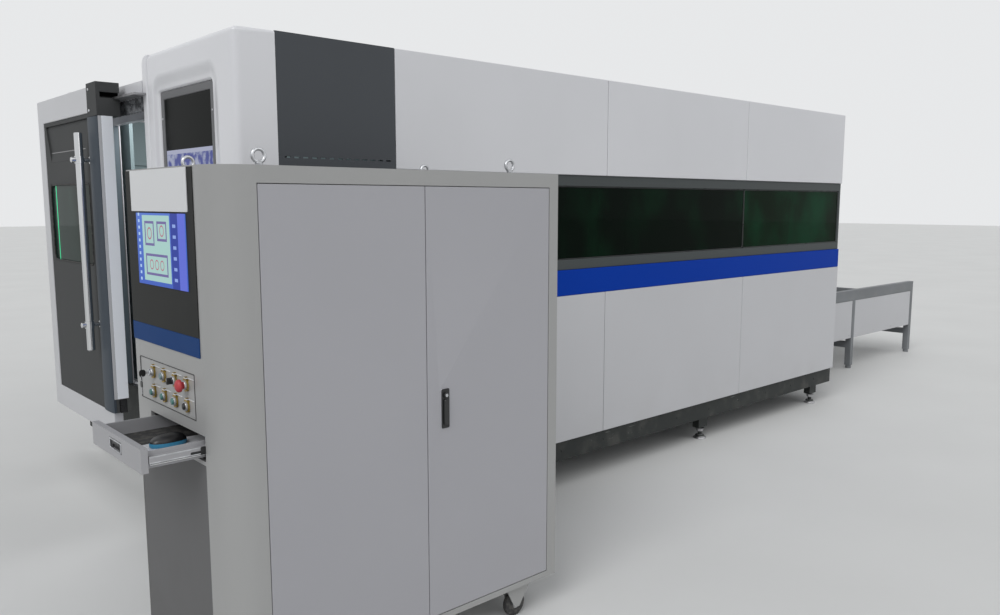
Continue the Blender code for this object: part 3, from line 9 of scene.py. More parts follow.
import bmesh
import bpy
import numpy as np
from bpy.props import FloatProperty, FloatVectorProperty, IntProperty, PointerProperty
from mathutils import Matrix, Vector

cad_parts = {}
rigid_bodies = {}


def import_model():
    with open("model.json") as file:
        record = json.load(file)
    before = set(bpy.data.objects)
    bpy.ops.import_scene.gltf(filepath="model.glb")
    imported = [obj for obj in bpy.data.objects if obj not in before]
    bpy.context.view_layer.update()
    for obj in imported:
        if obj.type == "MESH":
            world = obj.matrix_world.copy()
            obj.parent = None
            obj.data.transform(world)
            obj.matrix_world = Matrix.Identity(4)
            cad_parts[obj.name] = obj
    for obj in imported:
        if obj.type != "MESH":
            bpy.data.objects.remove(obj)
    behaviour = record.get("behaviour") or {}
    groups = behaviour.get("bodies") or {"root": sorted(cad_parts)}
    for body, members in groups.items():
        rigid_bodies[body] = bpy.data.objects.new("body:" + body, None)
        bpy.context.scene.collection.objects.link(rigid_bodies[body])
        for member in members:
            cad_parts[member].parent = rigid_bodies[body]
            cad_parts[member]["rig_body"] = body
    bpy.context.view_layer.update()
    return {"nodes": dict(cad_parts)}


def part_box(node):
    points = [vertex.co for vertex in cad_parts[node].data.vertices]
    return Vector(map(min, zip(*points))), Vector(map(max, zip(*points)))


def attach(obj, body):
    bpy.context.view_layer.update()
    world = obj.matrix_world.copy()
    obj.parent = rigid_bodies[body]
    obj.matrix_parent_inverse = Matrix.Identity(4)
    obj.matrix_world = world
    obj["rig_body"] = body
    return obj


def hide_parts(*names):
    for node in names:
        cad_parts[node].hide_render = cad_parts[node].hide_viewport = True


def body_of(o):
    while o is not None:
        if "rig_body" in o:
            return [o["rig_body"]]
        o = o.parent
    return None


bl_info = {
    "name": "Laser Cutting Machine Looks",
    "version": (1, 0, 0),
    "blender": (4, 5, 0),
    "location": "View3D > Sidebar > Machine",
    "description": "Dresses a laser cutting machine with its finishes and fine pieces",
    "category": "Object",
}

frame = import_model()
ROOT = "machine"

# The shop origin: the low corner of the operator head, on the floor
SHOP = np.array([*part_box("operator_head")[0].xy, 0.0])

# Points closer than this are one point
WELD = 0.00002

# Near the axis a turned profile stops at this radius and is closed by a flat face
PIN = 0.0001

# The axes that an outline's x and y lie on, and the axis that it stands across
ORDER = {0: (1, 2, 0), 1: (2, 0, 1), 2: (0, 1, 2)}

DUST = (0.34, 0.32, 0.29, 1.0)

# Lowest and highest z of the painted glowing line in the door's window
WINDOW_GLOW = (1.275, 1.705)

# Every finish by its short name, filled by the first operator
FINISHES = {}


def at(x, y, z):
    """A point in shop coordinates as a point of the model."""
    return np.array([x, y, z], float) + SHOP


def shop_box(node):
    """A CAD node's low and high corners in shop coordinates."""
    low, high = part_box(node)
    return np.array(low) - SHOP, np.array(high) - SHOP


class Signal:
    """A shader socket that takes part in Python arithmetic."""

    def __init__(self, finish, socket):
        self.finish = finish
        self.socket = socket

    def __add__(self, other):
        return self.finish.maths("ADD", self, other)

    def __sub__(self, other):
        return self.finish.maths("SUBTRACT", self, other)

    def __mul__(self, other):
        return self.finish.maths("MULTIPLY", self, other)

    def __truediv__(self, other):
        return self.finish.maths("DIVIDE", self, other)

    def __pow__(self, other):
        return self.finish.maths("POWER", self, other)

    def __gt__(self, other):
        return self.finish.maths("GREATER_THAN", self, other)

    def __lt__(self, other):
        return self.finish.maths("LESS_THAN", self, other)

    def __rsub__(self, other):
        return self.finish.maths("SUBTRACT", other, self)

    def __rtruediv__(self, other):
        return self.finish.maths("DIVIDE", other, self)

    __radd__ = __add__
    __rmul__ = __mul__


class Finish:
    """One node material: constants sit on the shader, and what varies is built from signals."""

    def __init__(self, name, colour, roughness=0.5, metallic=0.0, **constants):
        self.material = bpy.data.materials.new(name)
        self.material.use_nodes = True
        self.tree = self.material.node_tree
        self.shader = self.tree.nodes["Principled BSDF"]
        self.colour = (*colour[:3], 1.0)
        self.place = None
        self.put("Base Color", self.colour)
        self.put("Roughness", roughness)
        self.put("Metallic", metallic)
        for socket, value in constants.items():
            self.put(socket.replace("_", " "), value)

    def feed(self, socket, value):
        """Link a signal to a socket, or set the socket to a constant."""
        if isinstance(value, Signal):
            self.tree.links.new(value.socket, socket)
        else:
            socket.default_value = value

    def put(self, socket, value):
        """Feed one of the shader's own sockets."""
        self.feed(self.shader.inputs[socket], value)
        return self

    def node(self, kind, settings=None, values=None, output=0):
        """Add a node: settings first, then its inputs; returns the signal of one output."""
        made = self.tree.nodes.new("ShaderNode" + kind)
        for key, value in (settings or {}).items():
            setattr(made, key, value)
        for key, value in (values or {}).items():
            self.feed(made.inputs[key], value)
        return Signal(self, made.outputs[output])

    def maths(self, operation, first, second):
        """One Math node on two signals or numbers."""
        return self.node("Math", {"operation": operation}, {0: first, 1: second})

    def clamp(self, value, low=0.0, high=1.0):
        """A signal kept between two numbers."""
        return self.node("Clamp", None, {"Value": value, "Min": low, "Max": high})

    def mix(self, factor, first, second):
        """Blend two colours."""
        return self.node("Mix", {"data_type": "RGBA"}, {0: factor, 6: first, 7: second}, 2)

    def coordinates(self):
        """Object coordinates, which are metres in the model's frame."""
        if self.place is None:
            self.place = self.node("TexCoord", output=3)
        return self.place

    def axes(self):
        """The x, y and z of the object coordinates as three signals."""
        split = self.tree.nodes.new("ShaderNodeSeparateXYZ")
        self.feed(split.inputs[0], self.coordinates())
        return [Signal(self, out) for out in split.outputs]

    def noise(self, scale, detail=2.0, stretch=(1, 1, 1), seed=0.0):
        """Noise with cells about 1 / scale metres wide, stretched along the axes."""
        values = {"Vector": self.coordinates(), "Scale": stretch, "Location": (seed, seed * 0.7, -seed)}
        moved = self.node("Mapping", None, values)
        return self.node("TexNoise", None, {"Vector": moved, "Scale": scale, "Detail": detail})

    def ramp(self, value, low, high):
        """0 below low, 1 above high, and a smooth step between them."""
        settings = {"interpolation_type": "SMOOTHSTEP"}
        return self.node("MapRange", settings, {0: value, 1: low, 2: high, 3: 0.0, 4: 1.0})

    def bump(self, height, strength, distance):
        """Raise the surface by a height signal; distance is in metres."""
        values = {"Height": height, "Strength": strength, "Distance": distance}
        return self.put("Normal", self.node("Bump", None, values))


def tinted(colour, factor):
    """A colour made lighter or darker by a factor."""
    return (*(min(1.0, part * factor) for part in colour[:3]), 1.0)


def powder_coat(name, colour, roughness=0.42, dust=0.12, peel=0.10, seed=0.0, shine=0.45, coat=0.10):
    """Baked powder paint: orange peel, slow colour drift, faint hand smudges and dust near the floor."""
    made = Finish(
        name, colour, roughness, Coat_Weight=coat, Coat_Roughness=0.22, Specular_IOR_Level=shine
    )
    drift = made.noise(0.9, 3.0, seed=seed)
    smudge = made.ramp(made.noise(3.1, 3.0, (1, 1, 0.4), seed + 3.1), 0.50, 0.80)
    shade = made.mix(made.ramp(drift, 0.25, 0.75), tinted(colour, 0.97), tinted(colour, 1.02))
    shade = made.mix(smudge * 0.06, shade, tinted(colour, 0.84))
    height = made.axes()[2]
    settled = (1 - made.ramp(height, 0.15, 0.62)) * made.ramp(made.noise(5.0, 4.0), 0.25, 0.85)
    fleck = made.ramp(made.noise(240.0, 2.0, seed=seed), 0.68, 0.74)
    made.put("Base Color", made.mix(settled * dust + fleck * (dust * 0.4), shade, DUST))
    made.put(
        "Roughness", made.clamp(drift * 0.06 + smudge * 0.06 + settled * 0.15 + (roughness - 0.04))
    )
    made.bump(made.noise(380.0, 1.0, seed=seed) + drift * 0.2, peel, 0.0007)
    return made


def worn_paint(name, colour, roughness=0.5, bare=(0.30, 0.30, 0.30, 1.0), amount=0.5, seed=0.0):
    """Thick shop paint that is scuffed: a few long scratches and small chips show paler metal."""
    made = Finish(name, colour, roughness, Specular_IOR_Level=0.3)
    drift = made.noise(1.7, 4.0, seed=seed)
    scratch = made.ramp(made.noise(30.0, 3.0, (0.25, 3.0, 3.0), seed), 0.69, 0.71)
    chip = made.ramp(made.noise(55.0, 3.0, seed=seed + 5), 0.70, 0.72)
    wear = made.clamp((scratch + chip) * made.ramp(drift, 0.50, 0.66) * amount)
    shade = made.mix(made.ramp(drift, 0.3, 0.7), tinted(colour, 0.90), tinted(colour, 1.08))
    dusty = made.mix(made.ramp(made.noise(9.0, 4.0, seed=seed + 2), 0.45, 0.85) * 0.12, shade, DUST)
    made.put("Base Color", made.mix(wear, dusty, bare))
    made.put("Roughness", made.clamp(drift * 0.14 + (roughness - 0.07) - wear * 0.12))
    made.bump(made.noise(260.0, 2.0, seed=seed) - wear * 0.6, 0.12, 0.0005)
    return made


def plated(name, colour=(0.55, 0.56, 0.58), roughness=0.32, seed=0.0):
    """Zinc-plated or bright steel: mottled lustre with a light grain."""
    made = Finish(name, colour, roughness, 1.0)
    mottle = made.noise(45.0, 4.0, seed=seed)
    grain = made.noise(700.0, 2.0, (1, 1, 0.08), seed)
    made.put(
        "Base Color", made.mix(made.ramp(mottle, 0.35, 0.7), tinted(colour, 0.82), tinted(colour, 1.10))
    )
    made.put("Roughness", made.clamp(mottle * 0.18 + grain * 0.10 + (roughness - 0.14)))
    return made.bump(grain, 0.05, 0.0002)


def polished(name, colour=(0.78, 0.79, 0.80), roughness=0.09):
    """Chromed tube: bright, with faint wiping marks and fingerprints."""
    made = Finish(name, colour, roughness, 1.0)
    marks = made.ramp(made.noise(30.0, 5.0, (1, 1, 0.3)), 0.50, 0.75)
    fine = made.noise(900.0, 1.0, (1, 1, 0.05))
    made.put("Roughness", made.clamp(marks * 0.16 + fine * 0.04 + (roughness - 0.02)))
    made.put("Base Color", made.mix(marks * 0.3, tinted(colour, 1.0), tinted(colour, 0.86)))
    return made.bump(fine, 0.02, 0.0001)


def slat_steel(name):
    """Hot-rolled slats: mill scale, rust freckles and pale spatter along the burnt top edges."""
    made = Finish(name, (0.16, 0.15, 0.145), 0.62, 0.55)
    scale = made.noise(18.0, 6.0)
    rust = made.ramp(made.noise(34.0, 6.0, seed=2.0), 0.54, 0.72)
    spatter = made.ramp(made.noise(210.0, 3.0, seed=4.0), 0.64, 0.70)
    shade = made.mix(made.ramp(scale, 0.3, 0.7), (0.085, 0.082, 0.085, 1), (0.22, 0.21, 0.20, 1))
    shade = made.mix(rust * 0.55, shade, (0.20, 0.085, 0.035, 1))
    made.put("Base Color", made.mix(spatter * 0.5, shade, (0.42, 0.40, 0.37, 1)))
    made.put("Roughness", made.clamp(scale * 0.25 + rust * 0.22 + 0.38))
    made.put("Metallic", made.clamp(0.7 - rust * 0.6))
    return made.bump(scale + spatter * 0.7, 0.25, 0.0012)


def moulded(name, colour, roughness=0.4, grain=300.0, depth=0.10):
    """Injection-moulded plastic with a spark-eroded grain and rubbed patches."""
    made = Finish(name, colour, roughness)
    rubbed = made.ramp(made.noise(14.0, 4.0), 0.45, 0.75)
    made.put("Base Color", made.mix(rubbed * 0.35, tinted(colour, 1.0), tinted(colour, 1.35)))
    made.put("Roughness", made.clamp(roughness + 0.06 - rubbed * 0.14))
    return made.bump(made.noise(grain * 3, 2.0), depth, 0.0003)


def tread_rubber(name, colour=(0.022, 0.022, 0.023)):
    """Dull rubber, dusty in its grain."""
    made = Finish(name, colour, 0.82)
    dusty = made.ramp(made.noise(60.0, 5.0), 0.42, 0.75)
    made.put("Base Color", made.mix(dusty * 0.35, (*colour, 1.0), (0.20, 0.19, 0.17, 1)))
    made.put("Roughness", made.clamp(dusty * 0.12 + 0.74))
    return made.bump(made.noise(900.0, 2.0), 0.25, 0.0004)


def pleated_cloth(name):
    """Coated fabric for a pleated seal: a fine weave and greyed folds."""
    made = Finish(name, (0.07, 0.075, 0.08), 0.72, Specular_IOR_Level=0.2)
    settings = {"wave_type": "BANDS", "bands_direction": "Z"}
    threads = made.node("TexWave", settings, {"Vector": made.coordinates(), "Scale": 260.0}, 1)
    grime = made.ramp(made.noise(38.0, 6.0), 0.40, 0.66)
    fleck = made.ramp(made.noise(150.0, 3.0, seed=3.0), 0.60, 0.66)
    shade = made.mix(grime, (0.060, 0.063, 0.068, 1), (0.200, 0.208, 0.220, 1))
    made.put("Base Color", made.mix(fleck * 0.5, shade, (0.34, 0.35, 0.37, 1)))
    made.put("Roughness", made.clamp(grime * 0.15 + 0.62))
    return made.bump(threads, 0.2, 0.0003)


def laser_glass(name, alpha, glow=None, green=1.0):
    """Dark green filter acrylic; glow, if given, is the y of a painted glowing line, towards which the
    glass is painted a lighter green.
    """
    colour = (0.003, 0.012, 0.006)
    made = Finish(name, colour, 0.05, Specular_IOR_Level=0.035)
    haze = made.ramp(made.noise(3.0, 5.0, (1, 1, 0.6)), 0.42, 0.78)
    y, z = made.axes()[1:]
    shade = made.mix(
        haze, (0.001, 0.004 * green, 0.002, 1.0), (0.002, 0.018 * green, 0.007 * green, 1.0)
    )
    if glow is not None:
        # A lighter green towards the glowing line, and the emissive line itself: painted light.
        painted_glow_haze = made.ramp(y, glow - 0.50, glow - 0.22) * (haze * 0.4 + 0.6)
        shade = made.mix(painted_glow_haze, shade, (0.030, 0.052, 0.045, 1.0))
        core, fade = 0.003, 0.007
        line = made.ramp(y, glow - fade, glow - core) - made.ramp(y, glow + core, glow + fade)
        line = line * (z > WINDOW_GLOW[0]) * (z < WINDOW_GLOW[1])
        shade = made.mix(line, shade, (0.01, 0.62, 0.26, 1.0))
        made.put("Emission Strength", 1.0)
        made.put("Emission Color", made.mix(line, (0, 0, 0, 1), (0.0, 0.45, 0.17, 1.0)))
    made.put("Base Color", shade)
    made.put("Roughness", made.clamp(haze * 0.06 + 0.03))
    made.put("Alpha", alpha)
    return made


def display(name, low, high, draw):
    """A lit screen on an x-facing plate: u runs from far to near, v upwards, both 0 to 1."""
    made = Finish(name, (0.01, 0.01, 0.012), 0.12, Specular_IOR_Level=0.03, Emission_Strength=0.8)
    y, z = made.axes()[1:]
    u = (high[1] - y) / (high[1] - low[1])
    v = (z - low[2]) / (high[2] - low[2])
    colour = draw(made, u, v)
    made.put("Emission Color", colour)
    dim = made.mix(0.9, colour, (0.0, 0.0, 0.0, 1.0))
    return made.put("Base Color", dim)


def band(value, low, high):
    """1 where a signal lies between two numbers."""
    return (value > low) * (value < high)


def nest_drawing(made, u, v):
    """A generic cutting layout: tool columns at the sides, and part outlines on a pale sheet."""
    paint = made.mix(v, (0.06, 0.13, 0.55, 1), (0.10, 0.20, 0.66, 1))
    sheet = band(u, 0.13, 0.70) * band(v, 0.06, 0.97)
    paint = made.mix(sheet, paint, (0.42, 0.66, 0.62, 1))
    parts = ((0.18, 0.55, 0.20, 0.34), (0.44, 0.62, 0.20, 0.27), (0.18, 0.14, 0.46, 0.30))
    for left, low, wide, tall in parts:
        outer = band(u, left, left + wide) * band(v, low, low + tall)
        inner = band(u, left + 0.02, left + wide - 0.02) * band(v, low + 0.035, low + tall - 0.035)
        paint = made.mix((outer - inner) * 0.9, paint, (0.16, 0.10, 0.34, 1))
    holes = (
        (0.28, 0.72, 0.06),
        (0.54, 0.76, 0.055),
        (0.30, 0.29, 0.05),
        (0.41, 0.29, 0.05),
        (0.52, 0.29, 0.05),
    )
    for across, up, size in holes:
        away = ((u - across) * (u - across) + (v - up) * (v - up) * 0.33) ** 0.5
        paint = made.mix(band(away, size * 0.62, size * 0.82) * 0.9, paint, (0.50, 0.12, 0.20, 1))
    paint = made.mix(band(u, 0.72, 0.86), paint, (0.035, 0.06, 0.36, 1))
    paint = made.mix(band(u, 0.86, 1.0), paint, (0.13, 0.17, 0.72, 1))
    ticks = band(u, 0.04, 0.075) * (made.maths("FRACT", v * 11.0, 0.0) > 0.55)
    paint = made.mix(ticks, paint, (0.45, 0.65, 0.95, 1))
    bars = band(u, 0.76, 0.82) * (made.maths("FRACT", v * 7.0, 0.0) > 0.7) * band(v, 0.1, 0.9)
    return made.mix(bars, paint, (0.30, 0.42, 0.85, 1))


def status_drawing(made, u, v):
    """A screen that is black above, with a pale status page and two blue windows below."""
    lit = v < 0.745
    clouds = made.ramp(made.noise(26.0, 4.0), 0.42, 0.62)
    page = made.mix(clouds, (0.085, 0.10, 0.30, 1), (0.36, 0.39, 0.52, 1))
    page = made.mix(band(v, 0.725, 0.745), page, (0.40, 0.42, 0.55, 1))
    for left in (0.10, 0.56):
        window = band(u, left, left + 0.30) * band(v, 0.40, 0.66)
        page = made.mix(window, page, (0.045, 0.085, 0.42, 1))
        shine = window * made.ramp(made.noise(60.0, 3.0), 0.55, 0.62)
        page = made.mix(shine * 0.5, page, (0.35, 0.42, 0.62, 1))
    lower = band(u, 0.10, 0.90) * band(v, 0.08, 0.34)
    page = made.mix(lower, page, (0.03, 0.07, 0.30, 1))
    rows = lower * (made.maths("FRACT", v * 24.0, 0.0) > 0.6) * band(u, 0.14, 0.70)
    page = made.mix(rows, page, (0.35, 0.55, 0.75, 1))
    return made.mix(lit, (0.003, 0.004, 0.0035, 1), page)


def weave(rows, columns, around=True):
    """Quads between each ring of a grid and the next; a ring closes on itself if it goes around."""
    last = columns if around else columns - 1
    i, j = np.meshgrid(np.arange(rows - 1), np.arange(last), indexing="ij")
    k = (j + 1) % columns
    quads = np.stack(
        [i * columns + j, i * columns + k, (i + 1) * columns + k, (i + 1) * columns + j], -1
    )
    return quads.reshape(-1, 4)


def make(name, surfaces, body, finish, hides=(), crease=35.0):
    """One object from surfaces: each is a grid of rings of points, closed by a face at either end
    unless its last ring lies on its first."""
    points = []
    faces = []
    count = 0
    for grid in surfaces:
        rows, columns = grid.shape[:2]
        points.append(grid.reshape(-1, 3))
        faces += (weave(rows, columns) + count).tolist()
        if not np.allclose(grid[0], grid[-1], atol=1e-6):
            faces.append(list(range(count + columns - 1, count - 1, -1)))
            faces.append(list(range(count + (rows - 1) * columns, count + rows * columns)))
        count += rows * columns
    mesh = bpy.data.meshes.new(name)
    mesh.from_pydata(np.concatenate(points).tolist(), [], faces)
    return settle(name, mesh, body, finish, hides, crease)


def shaded(name, mesh, finish, crease):
    """An object of one finish, smooth but for the edges that turn more than crease degrees."""
    mesh.shade_smooth()
    mesh.set_sharp_from_angle(angle=math.radians(crease))
    mesh.materials.append(FINISHES[finish].material)
    piece = bpy.data.objects.new(name, mesh)
    bpy.context.scene.collection.objects.link(piece)
    return piece


def settle(name, mesh, body, finish, hides, crease):
    """Weld a mesh, turn its faces outwards, shade it, and let it ride on its body."""
    form = bmesh.new()
    form.from_mesh(mesh)
    bmesh.ops.remove_doubles(form, verts=form.verts, dist=WELD)
    bmesh.ops.recalc_face_normals(form, faces=form.faces)
    form.to_mesh(mesh)
    form.free()
    piece = shaded(name, mesh, finish, crease)
    levelled = piece.modifiers.new("Flat faces", "WEIGHTED_NORMAL")
    levelled.keep_sharp = True
    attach(piece, body)
    if hides:
        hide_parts(*hides)
    return piece


def outline(wide, tall, corner, steps=5):
    """A rounded rectangle about 0, 0: quarter circles whose centres sit corner in from each corner."""
    radii = np.broadcast_to(np.asarray(corner, float), 4)
    turn = np.linspace(0, np.pi / 2, steps + 1)
    quarters = []
    for k, (sx, sy) in enumerate(((1, 1), (-1, 1), (-1, -1), (1, -1))):
        r = max(radii[k], 0.00001)
        a = turn + k * np.pi / 2
        x = sx * (wide / 2 - r) + r * np.cos(a)
        y = sy * (tall / 2 - r) + r * np.sin(a)
        quarters.append(np.stack([x, y], -1))
    return np.concatenate(quarters)


def stand(flat, height, axis):
    """Put a flat outline at a height along an axis."""
    placed = np.empty((len(flat), 3))
    across, up, along = ORDER[axis]
    placed[:, across] = flat[:, 0]
    placed[:, up] = flat[:, 1]
    placed[:, along] = height
    return placed


def rings(low, high, sections, axis=2, steps=5):
    """Rounded-rectangle rings between two corners; a section is (height, inset, corner)."""
    low = np.asarray(low, float)
    high = np.asarray(high, float)
    across, up, along = ORDER[axis]
    size = high - low
    middle = (low + high) / 2
    middle[along] = 0
    grid = []
    for height, inset, corner in sections:
        flat = outline(size[across] - 2 * inset, size[up] - 2 * inset, corner, steps)
        grid.append(stand(flat, height, axis) + middle)
    return np.array(grid) + SHOP


def block(low, high, edge=0.003, axis=2, corner=None, steps=3):
    """A box with rounded edges: near each end the outline shrinks by edge * (1 - sin a) as it climbs
    edge * (1 - cos a), and the corners along the axis have their own radius."""
    along = ORDER[axis][2]
    radii = np.asarray(edge if corner is None else corner, float)
    turn = np.linspace(0, np.pi / 2, 4)
    foot = []
    top = []
    for inset, rise in zip(edge * (1 - np.sin(turn)), edge * (1 - np.cos(turn))):
        corners = np.maximum(radii - inset, 0.0002)
        foot.append((low[along] + rise, inset, corners))
        top.append((high[along] - rise, inset, corners))
    return rings(low, high, foot + top[::-1], axis, steps)


def turned(profile, base, axis=2, sides=24, sign=1.0):
    """A profile of (radius, height) pairs swept round an axis through base."""
    profile = np.asarray(profile, float)
    turn = np.linspace(0, 2 * np.pi, sides, endpoint=False)
    across, up, along = ORDER[axis]
    grid = np.empty((len(profile), sides, 3))
    grid[:, :, across] = profile[:, :1] * np.cos(turn)
    grid[:, :, up] = profile[:, :1] * np.sin(turn)
    grid[:, :, along] = profile[:, 1:] * sign
    return grid + np.asarray(base, float) + SHOP


def carried(section, path, closed_up=(0, 0, 1)):
    """A flat section carried along a path: x of the section goes sideways, y along closed_up."""
    path = np.asarray(path, float)
    ahead = np.gradient(path, axis=0)
    ahead /= np.linalg.norm(ahead, axis=1, keepdims=True)
    upward = np.asarray(closed_up, float)
    side = np.cross(ahead, upward)
    side /= np.linalg.norm(side, axis=1, keepdims=True)
    over = np.cross(side, ahead)
    section = np.asarray(section, float)
    grid = path[:, None] + side[:, None] * section[None, :, :1] + over[:, None] * section[None, :, 1:]
    return grid + SHOP


def carried_round(section, path, closed_up):
    """A flat section carried round a closed path, whose last point is its first."""
    path = np.concatenate([path[-2:-1], path, path[1:2]])
    return carried(section, path, closed_up)[1:-1]


def circle(radius, sides=12):
    """Points on a circle about 0, 0."""
    turn = np.linspace(0, 2 * np.pi, sides, endpoint=False)
    return np.stack([radius * np.cos(turn), radius * np.sin(turn)], -1)


def plate(flat, start, end, axis):
    """A flat outline given thickness along an axis."""
    flat = np.asarray(flat, float)
    return np.array([stand(flat, start, axis), stand(flat, end, axis)]) + SHOP


def screw_heads(places, axis, sign, radius=0.006, height=0.003):
    """Button-head screws: a low dome over a short cylinder at each place."""
    profile = [
        (radius, 0), (radius, height * 0.35), (radius * 0.82, height * 0.8), (radius * 0.45, height)
    ]
    profile.append((PIN, height))
    return [turned(profile, place, axis, 10, sign) for place in places]


def softened(node, width, finish):
    """A copy of a CAD node with its long edges bevelled, which stands for the node."""
    source = frame["nodes"][node]
    mesh = source.data.copy()
    mesh.materials.clear()
    form = bmesh.new()
    form.from_mesh(mesh)
    bmesh.ops.remove_doubles(form, verts=form.verts, dist=WELD)
    bmesh.ops.dissolve_limit(form, angle_limit=math.radians(0.6), verts=form.verts, edges=form.edges)
    form.to_mesh(mesh)
    form.free()
    piece = shaded(node + "_softened", mesh, finish, 30.0)
    rounding = piece.modifiers.new("Edges", "BEVEL")
    rounding.width = width
    rounding.segments = 2
    rounding.limit_method = "ANGLE"
    rounding.angle_limit = math.radians(38)
    rounding.harden_normals = True
    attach(piece, body_of(source)[0])
    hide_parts(node)


def dress(node, finish):
    """Give a CAD node's own mesh a finish."""
    for slot in frame["nodes"][node].material_slots:
        slot.material = FINISHES[finish].material


class MachineColours(bpy.types.PropertyGroup):
    """Paint colours of the machine."""

    white: FloatVectorProperty(
        name="Panel white",
        description="Powder coat of the housing",
        subtype="COLOR",
        default=(0.60, 0.605, 0.63),
    )
    cabinet: FloatVectorProperty(
        name="Cabinet grey",
        description="Warm grey of the cabinet body",
        subtype="COLOR",
        default=(0.315, 0.317, 0.315),
    )
    doors: FloatVectorProperty(
        name="Cabinet doors",
        description="Pale grey of the cabinet doors",
        subtype="COLOR",
        default=(0.355, 0.355, 0.380),
    )
    dark: FloatVectorProperty(
        name="Dark grey",
        description="Vent panel, door face and frames",
        subtype="COLOR",
        default=(0.060, 0.066, 0.074),
    )
    blue: FloatVectorProperty(
        name="Blue band",
        description="Stripe under the window",
        subtype="COLOR",
        default=(0.0005, 0.036, 0.320),
    )
    teal: FloatVectorProperty(
        name="Inner teal",
        description="Lining and bed",
        subtype="COLOR",
        default=(0.085, 0.110, 0.116),
    )


class MachineSizes(bpy.types.PropertyGroup):
    """Sizes of the fine pieces."""

    head_edge: FloatProperty(
        name="Head edge",
        description="Edge radius of the operator head",
        default=0.028,
        unit="LENGTH",
    )
    fold: FloatProperty(
        name="Fold",
        description="Bend radius of the sheet panels",
        default=0.004,
        unit="LENGTH",
    )
    tooth: FloatProperty(
        name="Slat tooth",
        description="Pitch of the slat teeth",
        default=0.052,
        unit="LENGTH",
    )
    slats: IntProperty(
        name="Slats",
        description="Slats on each pallet",
        default=26,
        min=4,
        max=60,
    )


